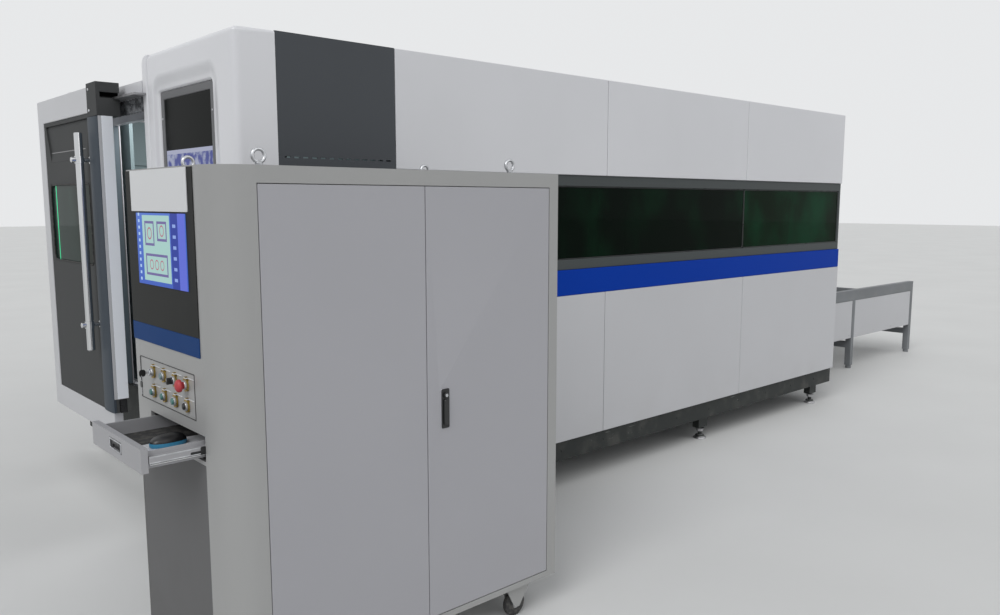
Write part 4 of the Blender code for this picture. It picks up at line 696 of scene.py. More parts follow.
class MACHINE_OT_finishes(bpy.types.Operator):
    """Mix the finishes and paint the solids that keep their own shape"""

    bl_idname = "machine.finishes"
    bl_label = "Finishes"

    def execute(self, context):
        tone = context.scene.machine_colours
        white, cabinet, doors = tuple(tone.white), tuple(tone.cabinet), tuple(tone.doors)
        dark, blue, teal = tuple(tone.dark), tuple(tone.blue), tuple(tone.teal)
        FINISHES.update(
            white=powder_coat("panel_white", white, 0.36, 0.10, 0.08, 0.4),
            head=powder_coat("head_white", tinted(white, 1.09), 0.30, 0.04, 0.05, 1.2, 0.5, 0.25),
            # The lower panels' white is the housing white made 20% darker: painted shade.
            lower=powder_coat("lower_white_painted_shade", tinted(white, 0.80), 0.38, 0.14, 0.08, 1.9),
            # The door frame's white is the housing white made 20% darker: painted shade on the frame and
            # its sill.
            rim=powder_coat("door_white_painted_shade", tinted(white, 0.80), 0.34, 0.06, 0.06, 2.1),
            cabinet=powder_coat("cabinet_grey", cabinet, 0.40, 0.08, 0.10, 2.3, 0.35),
            doors=powder_coat("door_lilac", doors, 0.44, 0.06, 0.10, 3.7, 0.30, 0.05),
            plate=powder_coat("plate_grey", tinted(cabinet, 1.02), 0.36, 0.03, 0.05, 4.2),
            label=powder_coat("plate_white", (0.60, 0.61, 0.62), 0.30, 0.02, 0.02, 4.6),
            dark=powder_coat("vent_grey", dark, 0.50, 0.03, 0.10, 5.1, 0.20, 0.0),
            face=powder_coat("door_graphite", (0.064, 0.066, 0.067), 0.55, 0.03, 0.08, 6.0, 0.04, 0.0),
            edge=powder_coat("edge_slate", (0.052, 0.064, 0.079), 0.46, 0.03, 0.05, 6.6, 0.10, 0.0),
            # The door's side is pale paint made lighter than the housing white, which also paints the
            # light on that face.
            side=powder_coat("side_lilac_painted_light", (0.85, 0.88, 0.93), 0.30, 0.04, 0.05, 7.1, 0.45, 0.15),
            blue=powder_coat("band_blue", blue, 0.46, 0.02, 0.06, 7.7, 0.05, 0.0),
            stripe=powder_coat("stripe_blue", (0.008, 0.044, 0.160), 0.46, 0.02, 0.05, 7.9, 0.05, 0.0),
            charcoal=powder_coat(
                "console_charcoal", (0.029, 0.030, 0.029), 0.50, 0.02, 0.06, 8.2, 0.05, 0.0
            ),
            bezel=powder_coat("bezel_grey", (0.130, 0.132, 0.138), 0.46, 0.02, 0.08, 8.4, 0.20, 0.0),
            strip=powder_coat("window_strip", (0.054, 0.062, 0.063), 0.46, 0.04, 0.08, 8.8, 0.20, 0.0),
            skirt=worn_paint("skirt_black", (0.019, 0.022, 0.021), 0.58, amount=0.30, seed=9.0),
            teal=powder_coat("bed_teal", teal, 0.45, 0.10, 0.10, 9.5, 0.3),
            lining=powder_coat("lining_teal", (0.200, 0.262, 0.275), 0.46, 0.04, 0.10, 9.8, 0.2, 0.0),
            jamb=powder_coat("jamb_slate", (0.115, 0.145, 0.165), 0.46, 0.03, 0.08, 11.3, 0.12, 0.0),
            # A pale grey that paints highlights: the ridge of the door's relief and the edge of the door
            # opening's reveal.
            crest=powder_coat("painted_highlight_grey", (0.20, 0.20, 0.205), 0.40, 0.03, 0.05, 11.9, 0.3, 0.0),
            drawer=powder_coat("drawer_grey", (0.335, 0.335, 0.350), 0.40, 0.03, 0.08, 10.9, 0.3, 0.05),
            grey=worn_paint("frame_grey", (0.17, 0.18, 0.19), 0.5, amount=0.5, seed=10.0),
            knee=powder_coat("knee_grey", (0.105, 0.105, 0.107), 0.46, 0.05, 0.08, 10.4, 0.25, 0.0),
            steel=plated("zinc", seed=11.0),
            dull=plated("machined_steel", (0.42, 0.42, 0.43), 0.42, 12.0),
            chrome=polished("chrome_tube", (0.66, 0.67, 0.68), 0.12),
            copper=plated("nozzle_copper", (0.72, 0.34, 0.20), 0.28, 13.0),
            gold=plated("gold_ring", (0.42, 0.29, 0.07), 0.38, 14.0),
            slats=slat_steel("slat_steel"),
            # A near-black that paints the shade at the back of the hanger's pocket.
            void=moulded("painted_shade_black", (0.0015, 0.0015, 0.0016), 0.85).put(
                "Specular IOR Level", 0.02
            ),
            black=moulded("black_plastic", (0.016, 0.016, 0.017), 0.38),
            satin=moulded("satin_black", (0.010, 0.010, 0.011), 0.30, 500.0, 0.04),
            red=moulded("stop_red", (0.42, 0.035, 0.045), 0.42, 500.0, 0.03),
            mint=moulded("key_green", (0.055, 0.17, 0.155), 0.26, 500.0, 0.02),
            mist=moulded("key_grey", (0.13, 0.19, 0.20), 0.26, 500.0, 0.02),
            pale=moulded("pale_plastic", (0.62, 0.63, 0.64), 0.35, 400.0, 0.04),
            azure=moulded("mouse_blue", (0.035, 0.22, 0.38), 0.35, 400.0, 0.04),
            rubber=tread_rubber("rubber"),
            cloth=pleated_cloth("seal_cloth"),
            glass=laser_glass("side_glass", 0.94),
            green=laser_glass("green_glass", 0.94, green=2.2),
            window=laser_glass("door_glass", 0.975, float(SHOP[1]) + 1.985),
        )
        low, high = shop_box("console_screen")
        FINISHES["screen"] = display("console_display", low + SHOP, high + SHOP, nest_drawing)
        low, high = shop_box("head_screen")
        FINISHES["status"] = display("head_display", low + SHOP, high + SHOP, status_drawing)
        painted = {
            "dark": ("vent_panel", "head_carriage"),
            "glass": ("side_pane_1",),
            "green": ("side_pane_2",),
            "window": ("door_window",),
            "screen": ("console_screen",),
            "status": ("head_screen",),
            "steel": ("electrical_plate",),
            "grey": ("near_frame", "far_frame", "scrap_tray"),
            "teal": ("bed_frame", "gantry_beam"),
            "lining": ("inner_liner",),
            "cloth": ("top_bellows",),
            "white": ("far_wall", "roof_sheet", "rear_wall", "end_wall"),
            "cabinet": ("cabinet_shell", "laser_source"),
            "plate": ("button_plate",),
            "skirt": ("base_skirt",),
        }
        for key, nodes in painted.items():
            for node in nodes:
                dress(node, key)
        return {"FINISHED"}


class MACHINE_OT_head(bpy.types.Operator):
    """Shape the moulded operator head round its monitor"""

    bl_idname = "machine.head"
    bl_label = "Operator head"

    STRIP = 0.062
    GROOVE = 0.006
    CROWN = 0.036

    def execute(self, context):
        low, high = shop_box("operator_head")
        bay_low, bay_high = shop_box("head_monitor")
        rim = high[1] - self.STRIP
        front_high = np.array([high[0], rim - self.GROOVE, high[2]])
        loops = self.shell(low, front_high, context.scene.machine_sizes.head_edge)
        loops += self.dish(bay_low, bay_high)
        make(
            "head_moulding",
            [np.array(loops) + SHOP],
            ROOT,
            "head",
            ("operator_head",),
            60,
        )
        strip = [block((0.0, rim, low[2]), high, 0.012, 0, (0.048, 0.004, 0.003, 0.010), 6)]
        make("head_rim_strip", strip, ROOT, "head", (), 50)
        filler_low = (0.012, rim - 0.010, low[2] + 0.010)
        filler = [block(filler_low, (high[0] - 0.010, rim + 0.004, high[2] - 0.020), 0.002, 0)]
        make("head_rim_groove", filler, ROOT, "black")
        self.monitor(bay_low, bay_high)
        return {"FINISHED"}

    def shell(self, low, high, edge):
        """The outside from the back to the front: straight walls, then an edge that comes in by
        edge * (1 - sin a) and forward by edge * (1 - cos a) as a falls from 90 degrees to 0."""
        loops = [self.loop(low, high, (self.CROWN, 0.012, 0.002, 0.012), high[0])]
        for a in np.linspace(np.pi / 2, 0, 8):
            inset = edge * (1 - math.sin(a))
            radii = [max(r - inset, 0.002) for r in (self.CROWN, 0.020, 0.004, 0.020)]
            front_high = high - (0, inset * 0.35, inset)
            loops.append(self.loop(low + (0, inset, 0), front_high, radii, edge * (1 - math.cos(a))))
        return loops

    def dish(self, low, high):
        """The front round the monitor bay: it sinks by 18 mm * (3 t t - 2 t t t) from its shoulder to
        the bay, and ends in a rounded lip."""
        shoulder_low = low - (0, 0.105, 0.095)
        shoulder_high = high + (0, 0.030, 0.080)
        margin = np.array([0, 0.012, 0.012])
        loops = []
        for t in np.linspace(0, 1, 9):
            sink = 0.018 * t * t * (3 - 2 * t)
            ring_low = shoulder_low + (low - shoulder_low - margin) * t
            ring_high = shoulder_high + (high - shoulder_high + margin) * t
            loops.append(self.loop(ring_low, ring_high, [0.085 - 0.055 * t] * 4, sink))
        lip = ((0.009, 0.0195, 0.022), (0.004, 0.023, 0.016), (0.0, 0.030, 0.012), (0.0, 0.048, 0.012))
        for spread, depth, corner in lip:
            loops.append(self.loop(low, high, [corner] * 4, depth, spread))
        return loops

    def loop(self, low, high, corners, x, spread=0.0):
        """A rounded rectangle across x; corners run high-high, low-high, low-low, high-low in y and z."""
        flat = outline(high[1] - low[1] + 2 * spread, high[2] - low[2] + 2 * spread, corners, 8)
        return stand(flat + ((low[1] + high[1]) / 2, (low[2] + high[2]) / 2), x, 0)

    def monitor(self, low, high):
        """The bezel with rounded lips and its screws, over the glass."""
        softened("head_monitor", 0.004, "bezel")
        side, end = 0.017, 0.120
        places = []
        for y in (low[1] + side, high[1] - side):
            for z in np.linspace(low[2] + end, high[2] - end, 4):
                places.append((low[0], y, z))
        make("monitor_screws", screw_heads(places, 0, -1, 0.005, 0.0025), ROOT, "steel")


class MACHINE_OT_panels(bpy.types.Operator):
    """Fold the sheet panels of the long side, and finish their window frame and its seals"""

    bl_idname = "machine.panels"
    bl_label = "Side panels"

    def execute(self, context):
        fold = context.scene.machine_sizes.fold
        for index in (1, 2, 3):
            # The lower panels take the darker white, which paints the shade on them.
            for kind, finish in (("lower", "lower"), ("upper", "white")):
                node = f"{kind}_panel_{index}"
                low, high = shop_box(node)
                make(f"{kind}_skin_{index}", [block(low, high, fold, 1)], ROOT, finish, (node,))
        low, high = shop_box("blue_band")
        make("band_skin", [block(low, high, fold, 1)], ROOT, "blue", ("blue_band",))
        softened("window_frame", 0.003, "strip")
        softened("vent_panel", 0.0012, "dark")
        self.seals()
        return {"FINISHED"}

    def seals(self):
        """Rubber beading round each pane: a half-round bead carried round a rounded rectangle."""
        beads = []
        for index in (1, 2):
            low, high = shop_box(f"side_pane_{index}")
            beads.append(bead_loop(low[::2], high[::2], low[1] - 0.001, 1, 0.0030))
        make("pane_beading", beads, ROOT, "satin")


def bead_loop(low, high, depth, axis, radius, corner=0.012):
    """A round bead whose centre line is a rounded rectangle in the plane across an axis: each point is
    centre + radius * (cos a * outward + sin a * axis), and the ring of rings closes on itself."""
    middle = (np.asarray(low) + np.asarray(high)) / 2
    wide, tall = high[0] - low[0], high[1] - low[1]
    loops = []
    for a in np.linspace(0, 2 * np.pi, 9):
        grow = radius * math.cos(a)
        size = 2 * (grow - radius)
        flat = outline(wide + size, tall + size, corner + grow) + middle
        loops.append(stand(flat[:, ::-1] if axis == 1 else flat, depth + radius * math.sin(a), axis))
    return np.array(loops) + SHOP


class MACHINE_OT_door(bpy.types.Operator):
    """Finish the sliding door: frame, convex edge, window bead, handle and guide"""

    bl_idname = "machine.door"
    bl_label = "Sliding door"

    def execute(self, context):
        body = "sliding_door"
        softened("door_frame", 0.004, "rim")
        softened("door_panel", 0.002, "face")
        softened("door_liner", 0.003, "side")
        low, high = shop_box("door_panel")
        frame_low, frame_high = shop_box("door_frame")
        front = frame_low[0]
        self.convex_edge(body, low[1], front, frame_low[2] + 0.121, high[2] - 0.162)
        pane_low, pane_high = shop_box("door_window")
        bead = bead_loop(pane_low[1:], pane_high[1:], front + 0.004, 0, 0.004, 0.030)
        make("door_window_bead", [bead], body, "rubber")
        self.handle(body)
        self.side(body, low[1], front)
        self.relief(body, front, frame_high[1] - 0.130)
        self.hanger(body, low, high, front)
        return {"FINISHED"}

    def convex_edge(self, body, near, front, sill, crown):
        """The profile beside the handle: it swells forward by 7 mm * sin(pi t) ^ 0.6 over its width."""
        width, swell, depth = 0.150, 0.007, 0.010
        t = np.linspace(0, 1, 13)
        start = near + 0.002
        curve = np.stack([start + width * t, front - 0.001 - swell * np.sin(np.pi * t) ** 0.6], -1)
        back = np.array([[near + width, front + depth], [start, front + depth]])
        flat = np.concatenate([curve, back])[:, ::-1]
        make("door_edge_profile", [plate(flat, sill, crown, 2)], body, "edge", (), 50)

    def side(self, body, near, front):
        """The pale side and the bevel between it and the front."""
        liner_low, liner_high = shop_box("door_liner")
        foot, top = liner_low[2] + 0.001, liner_high[2] - 0.001
        inside = near + 0.0036
        cover = block((front + 0.0170, near - 0.0016, foot), (liner_high[0], inside, top), 0.0012)
        make("door_side_cover", [cover], body, "side")
        bevel = block((front + 0.0020, near - 0.0004, foot), (front + 0.0168, inside, top), 0.0014)
        make("door_side_bevel", [bevel], body, "rim")

    def hanger(self, body, low, high, front):
        """The pocket that the hanger runs in, with a black sheet at its back that paints the shade inside
        it, its screws, and the guide shoes below the door.
        """
        pocket_foot, pocket_top = 2.1090, 2.1276
        pocket_low = (front + 0.0164, low[1] + 0.0170, pocket_foot)
        # A black sheet at the back of the pocket paints the shade inside it.
        lining = block(pocket_low, (high[0] - 0.0010, low[1] + 0.0246, pocket_top), 0.0008)
        make("hanger_pocket_painted_shade", [lining], body, "void")
        liner_low, liner_high = shop_box("door_liner")
        shoes = []
        for y in (liner_low[1] + 0.008, liner_low[1] + 0.040):
            shoe_high = (liner_high[0] - 0.004, y + 0.022, liner_low[2] + 0.002)
            shoes.append(block((front + 0.030, y, liner_low[2] - 0.075), shoe_high, 0.003))
        make("door_bottom_guide", shoes, body, "satin")
        screws = [(front - 0.002, low[1] + 0.110, high[2] - down) for down in (0.030, 0.130)]
        make("hanger_screws", screw_heads(screws, 0, -1, 0.007, 0.004), body, "steel")

    def relief(self, body, front, right):
        """The slope at the foot of the trapezoid: a wedge whose ends follow the slanted sides, and a pale
        strip along its ridge that paints the ridge's highlight.
        """
        foot, crest, taper, tall = 1.820, 1.872, 0.070, 0.195
        left = 1.350
        sunk = front + 0.0138
        section = np.array([[front + 0.0043, foot + 0.0005], [sunk, crest], [sunk, foot + 0.0005]])
        lean = taper * (1 - (section[:, 1] - foot) / tall)
        ends = [left + lean + 0.0004, right - lean - 0.0004]
        slope = np.array([np.stack([section[:, 0], end, section[:, 1]], -1) for end in ends]) + SHOP
        make("door_relief_slope", [slope], body, "face", (), 20)
        # A pale strip along the ridge paints its highlight.
        lean = taper * (1 - (crest - foot) / tall) + 0.002
        line_low = (front + 0.0118, left + lean, crest - 0.004)
        line = block(line_low, (front + 0.0134, right - lean, crest + 0.001), 0.0007, 1)
        make("door_relief_highlight", [line], body, "crest")

    def handle(self, body):
        """A tube with closed ends, and clamps whose rods pass right through it."""
        low, high = shop_box("door_handle")
        radius = (high[1] - low[1]) / 2
        stand_off, collar = 0.052, 0.004
        x, y = high[0] - stand_off, (low[1] + high[1]) / 2
        end = [
            (PIN, 0.0), (radius * 0.80, 0.0), (radius * 0.97, 0.002), (radius, 0.005), (radius, 0.300)
        ]
        profile = [(r, low[2] + h) for r, h in end] + [(r, high[2] - h) for r, h in reversed(end)]
        shapes = [turned(profile, (x, y, 0), 2, 32)]
        rod = [(PIN, 0.0), (0.0110, 0.0), (0.0135, 0.0025), (0.0135, 0.0220), (0.0100, 0.0235)]
        rod += [(0.0100, 0.0880), (0.0200, 0.0885), (0.0200, 0.0945), (PIN, 0.0945)]
        half = [(radius, 0.0180), (radius + collar, 0.0175)]
        clamp = [(r, -h) for r, h in half] + [(r, h) for r, h in reversed(half)]
        for z in (0.990, 1.808):
            shapes.append(turned(rod, (x - 0.040, y, z), 0, 24))
            shapes.append(turned(clamp, (x, y, z), 2, 32))
        make("handle_tube", shapes, body, "chrome", ("door_handle",), 40)


class MACHINE_OT_cabinet(bpy.types.Operator):
    """Finish the control cabinet: doors, latch, lifting eyes, casters, and the devices inside"""

    bl_idname = "machine.cabinet"
    bl_label = "Control cabinet"

    TOP = 1.706

    # Rows of devices on the electrical plate: bottom, height, depth and count
    ROWS = (
        (1.420, 0.130, 0.070, 9),
        (1.180, 0.160, 0.110, 6),
        (0.945, 0.170, 0.140, 5),
        (0.660, 0.100, 0.060, 12),
    )

    def execute(self, context):
        for side in ("left", "right"):
            softened(f"cabinet_door_{side}", 0.002, "doors")
        softened("cabinet_shell", 0.0022, "cabinet")
        self.latch()
        self.eyes()
        self.casters()
        self.equipment()
        self.ducts()
        self.source_front()
        self.door_backs()
        return {"FINISHED"}

    def equipment(self):
        """Housings over the devices of the electrical plate, with their levers and screws."""
        sheet = shop_box("electrical_plate")[1][1] - 0.003
        first, reach, grow = -0.390, 1.140, 0.0006
        cases = {"black": [], "pale": [], "knee": []}
        levers = []
        screws = []
        for i, (bottom, height, depth, count) in enumerate(self.ROWS):
            pitch = reach / count
            wide = pitch * 0.72
            for j in range(count):
                x = first + j * pitch
                front = sheet - depth + 0.010 * (j % 2)
                low = (x - grow, front - 0.0008, bottom - grow)
                high = (x + wide + grow, sheet, bottom + height + grow)
                finish = ("pale", "black", "knee", "black")[(i + j) % 4]
                cases[finish].append(block(low, high, 0.003, 1, 0.004))
                lever_low = (x + wide * 0.34, front - 0.0050, bottom + height * 0.42)
                lever_high = (x + wide * 0.66, front + 0.001, bottom + height * 0.60)
                levers.append(block(lever_low, lever_high, 0.0015, 1, 0.002))
                for share in (0.2, 0.5, 0.8):
                    for up in (0.12, 0.88):
                        screws.append((x + wide * share, front - 0.0008, bottom + height * up))
        for finish, shapes in cases.items():
            make("device_cases_" + finish, shapes, ROOT, finish)
        make("device_levers", levers, ROOT, "red")
        make(
            "terminal_screws",
            screw_heads(screws, 1, -1, 0.0032, 0.0016),
            ROOT,
            "steel",
        )

    def ducts(self):
        """A slotted wiring duct under each row of devices; its slots are black plates that paint the
        shade inside them.
        """
        back = shop_box("electrical_plate")[1][1]
        front, left, right = back - 0.0458, -0.4106, 0.7706
        slot = outline(0.008, 0.026, 0.002, 1)
        ducts = []
        slots = []
        for row in self.ROWS:
            bottom = row[0]
            high = (right, back - 0.003, bottom - 0.0144)
            ducts.append(block((left, front, bottom - 0.0506), high, 0.001, 0))
            # Black plates on the duct's face paint the shade inside its open slots.
            for x in np.arange(-0.391, 0.764, 0.020):
                flat = slot + (x, bottom - 0.033)
                slots.append(plate(flat[:, ::-1], front - 0.0004, front + 0.0018, 1))
        make("wiring_ducts", ducts, ROOT, "plate")
        make("duct_slot_painted_shade", slots, ROOT, "satin")

    def source_front(self):
        """Air slots in the front of the laser source, drawn as black strips that paint the shade inside
        them.
        """
        face = shop_box("laser_source")[0][1] + 0.027
        vents = []
        for z in np.arange(0.250, 0.412, 0.018):
            high = (0.100, face + 0.002, z + 0.008)
            vents.append(block((-0.130, face - 0.0012, z), high, 0.0008, 1, 0.002))
        make("source_vent_painted_shade", vents, ROOT, "satin")

    def door_backs(self):
        """Folded stiffeners on the inside of both doors, and a document pocket on the left one."""
        foot, top, wide = 0.260, 1.550, 0.040
        for side, spots in (("left", (-0.320, 0.120)), ("right", (0.270, 0.700))):
            door = f"cabinet_door_{side}"
            back = shop_box(door)[1][1]
            bars = []
            for x in spots:
                bars.append(block((x, back - 0.0005, foot), (x + wide, back + 0.0090, top), 0.0025, 2))
            make(f"door_stiffeners_{side}", bars, door, "doors")
        door = "cabinet_door_left"
        root = shop_box(door)[1][1] - 0.0005
        lip, skin = root + 0.0185, 0.002
        left, right, foot = -0.250, 0.090, 0.980
        pocket = [
            block((left, root, foot), (right, lip, foot + 0.003), 0.0008, 0),
            block((left, lip - skin, foot), (right, lip, foot + 0.200), 0.0008, 0),
            block((left, root, foot), (left + skin, lip, foot + 0.220), 0.0006, 2),
            block((right - skin, root, foot), (right, lip, foot + 0.220), 0.0006, 2),
        ]
        make("document_pocket", pocket, door, "pale")

    def latch(self):
        """A swing handle in its dished housing, with a lock cylinder under a round cap."""
        low, high = shop_box("swing_latch")
        middle = (low[0] + high[0]) / 2
        front, back = low[1], high[1]
        pivot = high[2] - 0.012
        half = 0.0172
        housing_high = (middle + half, back + 0.004, high[2] + 0.0105)
        housing = block((middle - half, back - 0.0004, low[2] - 0.0125), housing_high, 0.0018, 1, 0.005)
        make("latch_housing", [housing], "cabinet_door_right", "satin")
        half = 0.0095
        arm = block(
            (middle - half, front + 0.001, low[2]),
            (middle + half, back, high[2] - 0.026),
            0.0028,
            1,
            0.006,
        )
        boss = turned(
            [(PIN, 0), (0.0085, 0), (0.0100, 0.0012), (0.0100, 0.0070)], (middle, front, pivot), 1, 24
        )
        make("latch_arm", [arm, boss], "swing_latch", "black", ("swing_latch",))
        profile = [(PIN, 0.0002), (0.0030, 0), (0.0055, 0), (0.0062, 0.0010), (0.0062, 0.0030)]
        cylinder = turned(profile, (middle, front - 0.0004, pivot), 1, 20)
        make("latch_cylinder", [cylinder], "swing_latch", "steel")

    def eyes(self):
        """Zinc lifting eyes: a ring of round section over a turned collar."""
        wire, radius = 0.0056, 0.019
        around = np.linspace(0, 2 * np.pi, 28)
        circuit = np.stack([radius * np.cos(around), 0 * around, radius * np.sin(around)], -1)
        collar = [
            (0.0165, 0),
            (0.0165, 0.003),
            (0.0125, 0.0045),
            (0.0095, 0.010),
            (0.0070, 0.013),
            (PIN, 0.013),
        ]
        shapes = []
        for x, y in ((-0.345, -0.873), (0.645, -0.873), (-0.318, -0.303), (0.690, -0.303)):
            path = circuit + (x, y, self.TOP + 0.010 + radius)
            shapes.append(carried_round(circle(wire, 10), path, (0, 1, 0)))
            shapes.append(turned(collar, (x, y, self.TOP), 2, 20))
        make("lifting_eyes", shapes, ROOT, "steel", (), 50)

    def casters(self):
        """Rubber-tyred wheels: a crowned tread, a grooved side and a steel hub."""
        bore = 0.0064
        cap = [(PIN, 0.0), (0.016, 0.0), (0.019, 0.002), (0.019, 0.004)]
        for index in (1, 2, 3, 4):
            node = f"caster_wheel_{index}"
            low, high = shop_box(node)
            centre = (low + high) / 2
            radius = (high[2] - low[2]) / 2
            half = (high[1] - low[1]) / 2
            side = [(bore, 1.0), (radius * 0.52, 1.0), (radius * 0.56, 0.82), (radius * 0.86, 0.86)]
            side += [(radius * 0.97, 0.62), (radius, 0.20)]
            tread = [(r, -half * share) for r, share in side]
            tread += [(r, half * share) for r, share in reversed(side)]
            make(
                f"caster_tread_{index}",
                [turned(tread, centre, 1, 40)],
                node,
                "rubber",
                (node,),
                35,
            )
            out = np.array([0, half + 0.0008, 0])
            hubs = [turned(cap, centre - out, 1, 24), turned(cap, centre + out, 1, 24, -1)]
            make(f"caster_hub_{index}", hubs, node, "dull")


class MACHINE_OT_console(bpy.types.Operator):
    """Finish the console: fascia, stripe, plate, screen bezel and the operating elements"""

    bl_idname = "machine.console"
    bl_label = "Console"

    # Height of the seam between the charcoal sheet and the blue stripe
    STRIPE = 1.2095

    # x of the button plate's front
    PLATE = -0.5065

    def execute(self, context):
        low, high = shop_box("console_fascia")
        upper = block((low[0], low[1], self.STRIPE), high, 0.0009, 0, 0.002)
        make("fascia_sheet", [upper], ROOT, "charcoal", ("console_fascia",))
        lower = block(low, (high[0], high[1], self.STRIPE - 0.0006), 0.0009, 0, 0.002)
        make("fascia_stripe", [lower], ROOT, "stripe")
        screen_low, screen_high = shop_box("console_screen")
        blank_low = (low[0] - 0.0030, screen_low[1] - 0.020, screen_high[2] + 0.005)
        blank = block(blank_low, (low[0], screen_high[1] + 0.040, high[2] - 0.0004), 0.0007, 0, 0.003)
        make("blank_plate", [blank], ROOT, "label")
        bead = bead_loop(screen_low[1:], screen_high[1:], screen_low[0] + 0.0022, 0, 0.0016, 0.0016)
        make("screen_bead", [bead], ROOT, "satin")
        self.knee_panel()
        self.controls()
        return {"FINISHED"}

    def knee_panel(self):
        """The darker kick panel under the drawer."""
        x = shop_box("cabinet_shell")[0][0]
        near, far, foot, top = -0.798, -0.262, 0.152, 0.826
        panel = block((x + 0.0025, near, foot), (x + 0.0062, far, top), 0.0012, 0, 0.004)
        make("knee_sheet", [panel], ROOT, "knee")

    def controls(self):
        """Gold badges and collars on the plate, and each element with its own cap."""
        face = self.PLATE
        caps = {
            "jog_button": "mist",
            "start_button": "mint",
            "pause_button": "mint",
            "resume_button": "mint",
            "reset_button": "satin",
        }
        centres = {}
        for node in ("key_switch", "mode_selector", "emergency_stop", *caps):
            low, high = shop_box(node)
            centres[node] = ((low + high) / 2)[1:]
        around = np.linspace(0, 2 * np.pi, 36, endpoint=False)
        crown = 0.0200 + 0.0060 * np.maximum(np.sin(around), 0) ** 8
        badge = np.stack([crown * np.cos(around) * 0.92, crown * np.sin(around)], -1)
        lip = [(0.0116, 0.0), (0.0134, 0.0), (0.0142, 0.0010), (0.0144, 0.0040), (0.0144, 0.0070)]
        badges = []
        collars = []
        tags = []
        for y, z in centres.values():
            badges.append(plate(badge + (y, z), face - 0.0098, face, 0))
            collars.append(turned(lip, (face - 0.0157, y, z), 0, 28))
            for out, wide, up, edge in (
                (0.0052, 0.052, 0.0200, 0.0005), (0.0120, 0.014, 0.0206, 0.0007)
            ):
                tag_low = (face - out, y - wide, z + up)
                tags.append(block(tag_low, (face, y + 0.004, z + up + 0.0026), edge, 0, 0.001))
        make("control_badges", badges, ROOT, "gold")
        make("control_collars", collars, ROOT, "steel")
        make("control_tags", tags, ROOT, "label")
        plate_low, plate_high = shop_box("button_plate")
        seam = bead_loop(plate_low[1:], plate_high[1:], face - 0.0036, 0, 0.0015, 0.004)
        make("plate_seam", [seam], ROOT, "satin")
        cap = [
            (0.0108, 0.0250),
            (0.0108, 0.0040),
            (0.0100, 0.0018),
            (0.0085, 0.0006),
            (0.0055, 0.0),
            (PIN, 0.0),
        ]
        for node, finish in caps.items():
            shapes = [turned(cap, (face - 0.0205, *centres[node]), 0, 28)]
            make(node + "_cap", shapes, node, finish, (node,), 50)
        self.stop(face - 0.0395, *centres["emergency_stop"])
        self.selector(face - 0.0195, *centres["mode_selector"])
        self.key(face - 0.0215, *centres["key_switch"])

    def stop(self, x, y, z):
        """The mushroom: a stem that flares to a domed cap with a turned rim."""
        node = "emergency_stop"
        dome = [
            (PIN, 0.0),
            (0.0060, 0.0003),
            (0.0120, 0.0017),
            (0.0165, 0.0043),
            (0.0192, 0.0080),
            (0.0198, 0.0118),
        ]
        dome += [
            (0.0190, 0.0150), (0.0150, 0.0175), (0.0118, 0.0200), (0.0108, 0.0230), (0.0108, 0.0440)
        ]
        make("stop_mushroom", [turned(dome, (x, y, z), 0, 36)], node, "red", (node,), 60)

    def selector(self, x, y, z):
        """A round base and a tapered grip with a pale pointer."""
        node = "mode_selector"
        base = turned([(PIN, 0.0), (0.0100, 0.0), (0.0108, 0.0010), (0.0108, 0.0240)], (x, y, z), 0, 28)
        grip = block(
            (x - 0.0125, y - 0.0042, z - 0.0105),
            (x + 0.0010, y + 0.0042, z + 0.0105),
            0.0018,
            0,
            0.0035,
        )
        make("selector_grip", [base, grip], node, "black", (node,))
        pointer_high = (x - 0.0120, y + 0.0008, z + 0.0100)
        pointer = block((x - 0.0131, y - 0.0008, z + 0.0010), pointer_high, 0.0003, 0, 0.0006)
        make("selector_pointer", [pointer], node, "pale")

    def key(self, x, y, z):
        """A lock barrel, the key's bow with its ring, and a second key that hangs from it."""
        node = "key_switch"
        profile = [(PIN, 0.0), (0.0088, 0.0), (0.0104, 0.0012), (0.0108, 0.0030), (0.0108, 0.0260)]
        barrel = turned(profile, (x, y, z), 0, 28)
        blade = block(
            (x - 0.0105, y - 0.0011, z - 0.0040), (x + 0.0010, y + 0.0011, z + 0.0040), 0.0004, 1, 0.001
        )
        bow_low = (x - 0.0295, y - 0.0015, z - 0.0115)
        bow = block(bow_low, (x - 0.0090, y + 0.0015, z + 0.0115), 0.0010, 1, 0.0075, 5)
        hang, loop, wire = x - 0.0230, 0.0085, 0.0007
        around = np.linspace(0, 2 * np.pi, 25)
        path = np.stack([0 * around, loop * np.sin(around), loop * np.cos(around)], -1)
        ring = carried_round(circle(wire, 8), path + (hang, y, z - 0.0145), (1, 0, 0))
        spare_low = (hang - 0.0012, y - 0.0085, z - 0.0460)
        spare = block(spare_low, (hang + 0.0012, y + 0.0085, z - 0.0245), 0.0008, 0, 0.006, 5)
        shank_low = (hang - 0.0009, y - 0.0030, z - 0.0680)
        shank = block(shank_low, (hang + 0.0009, y + 0.0030, z - 0.0440), 0.0005, 0, 0.0010)
        make("key_set", [barrel, blade, ring, shank], node, "steel", (node,))
        make("key_bows", [bow, spare], node, "satin")


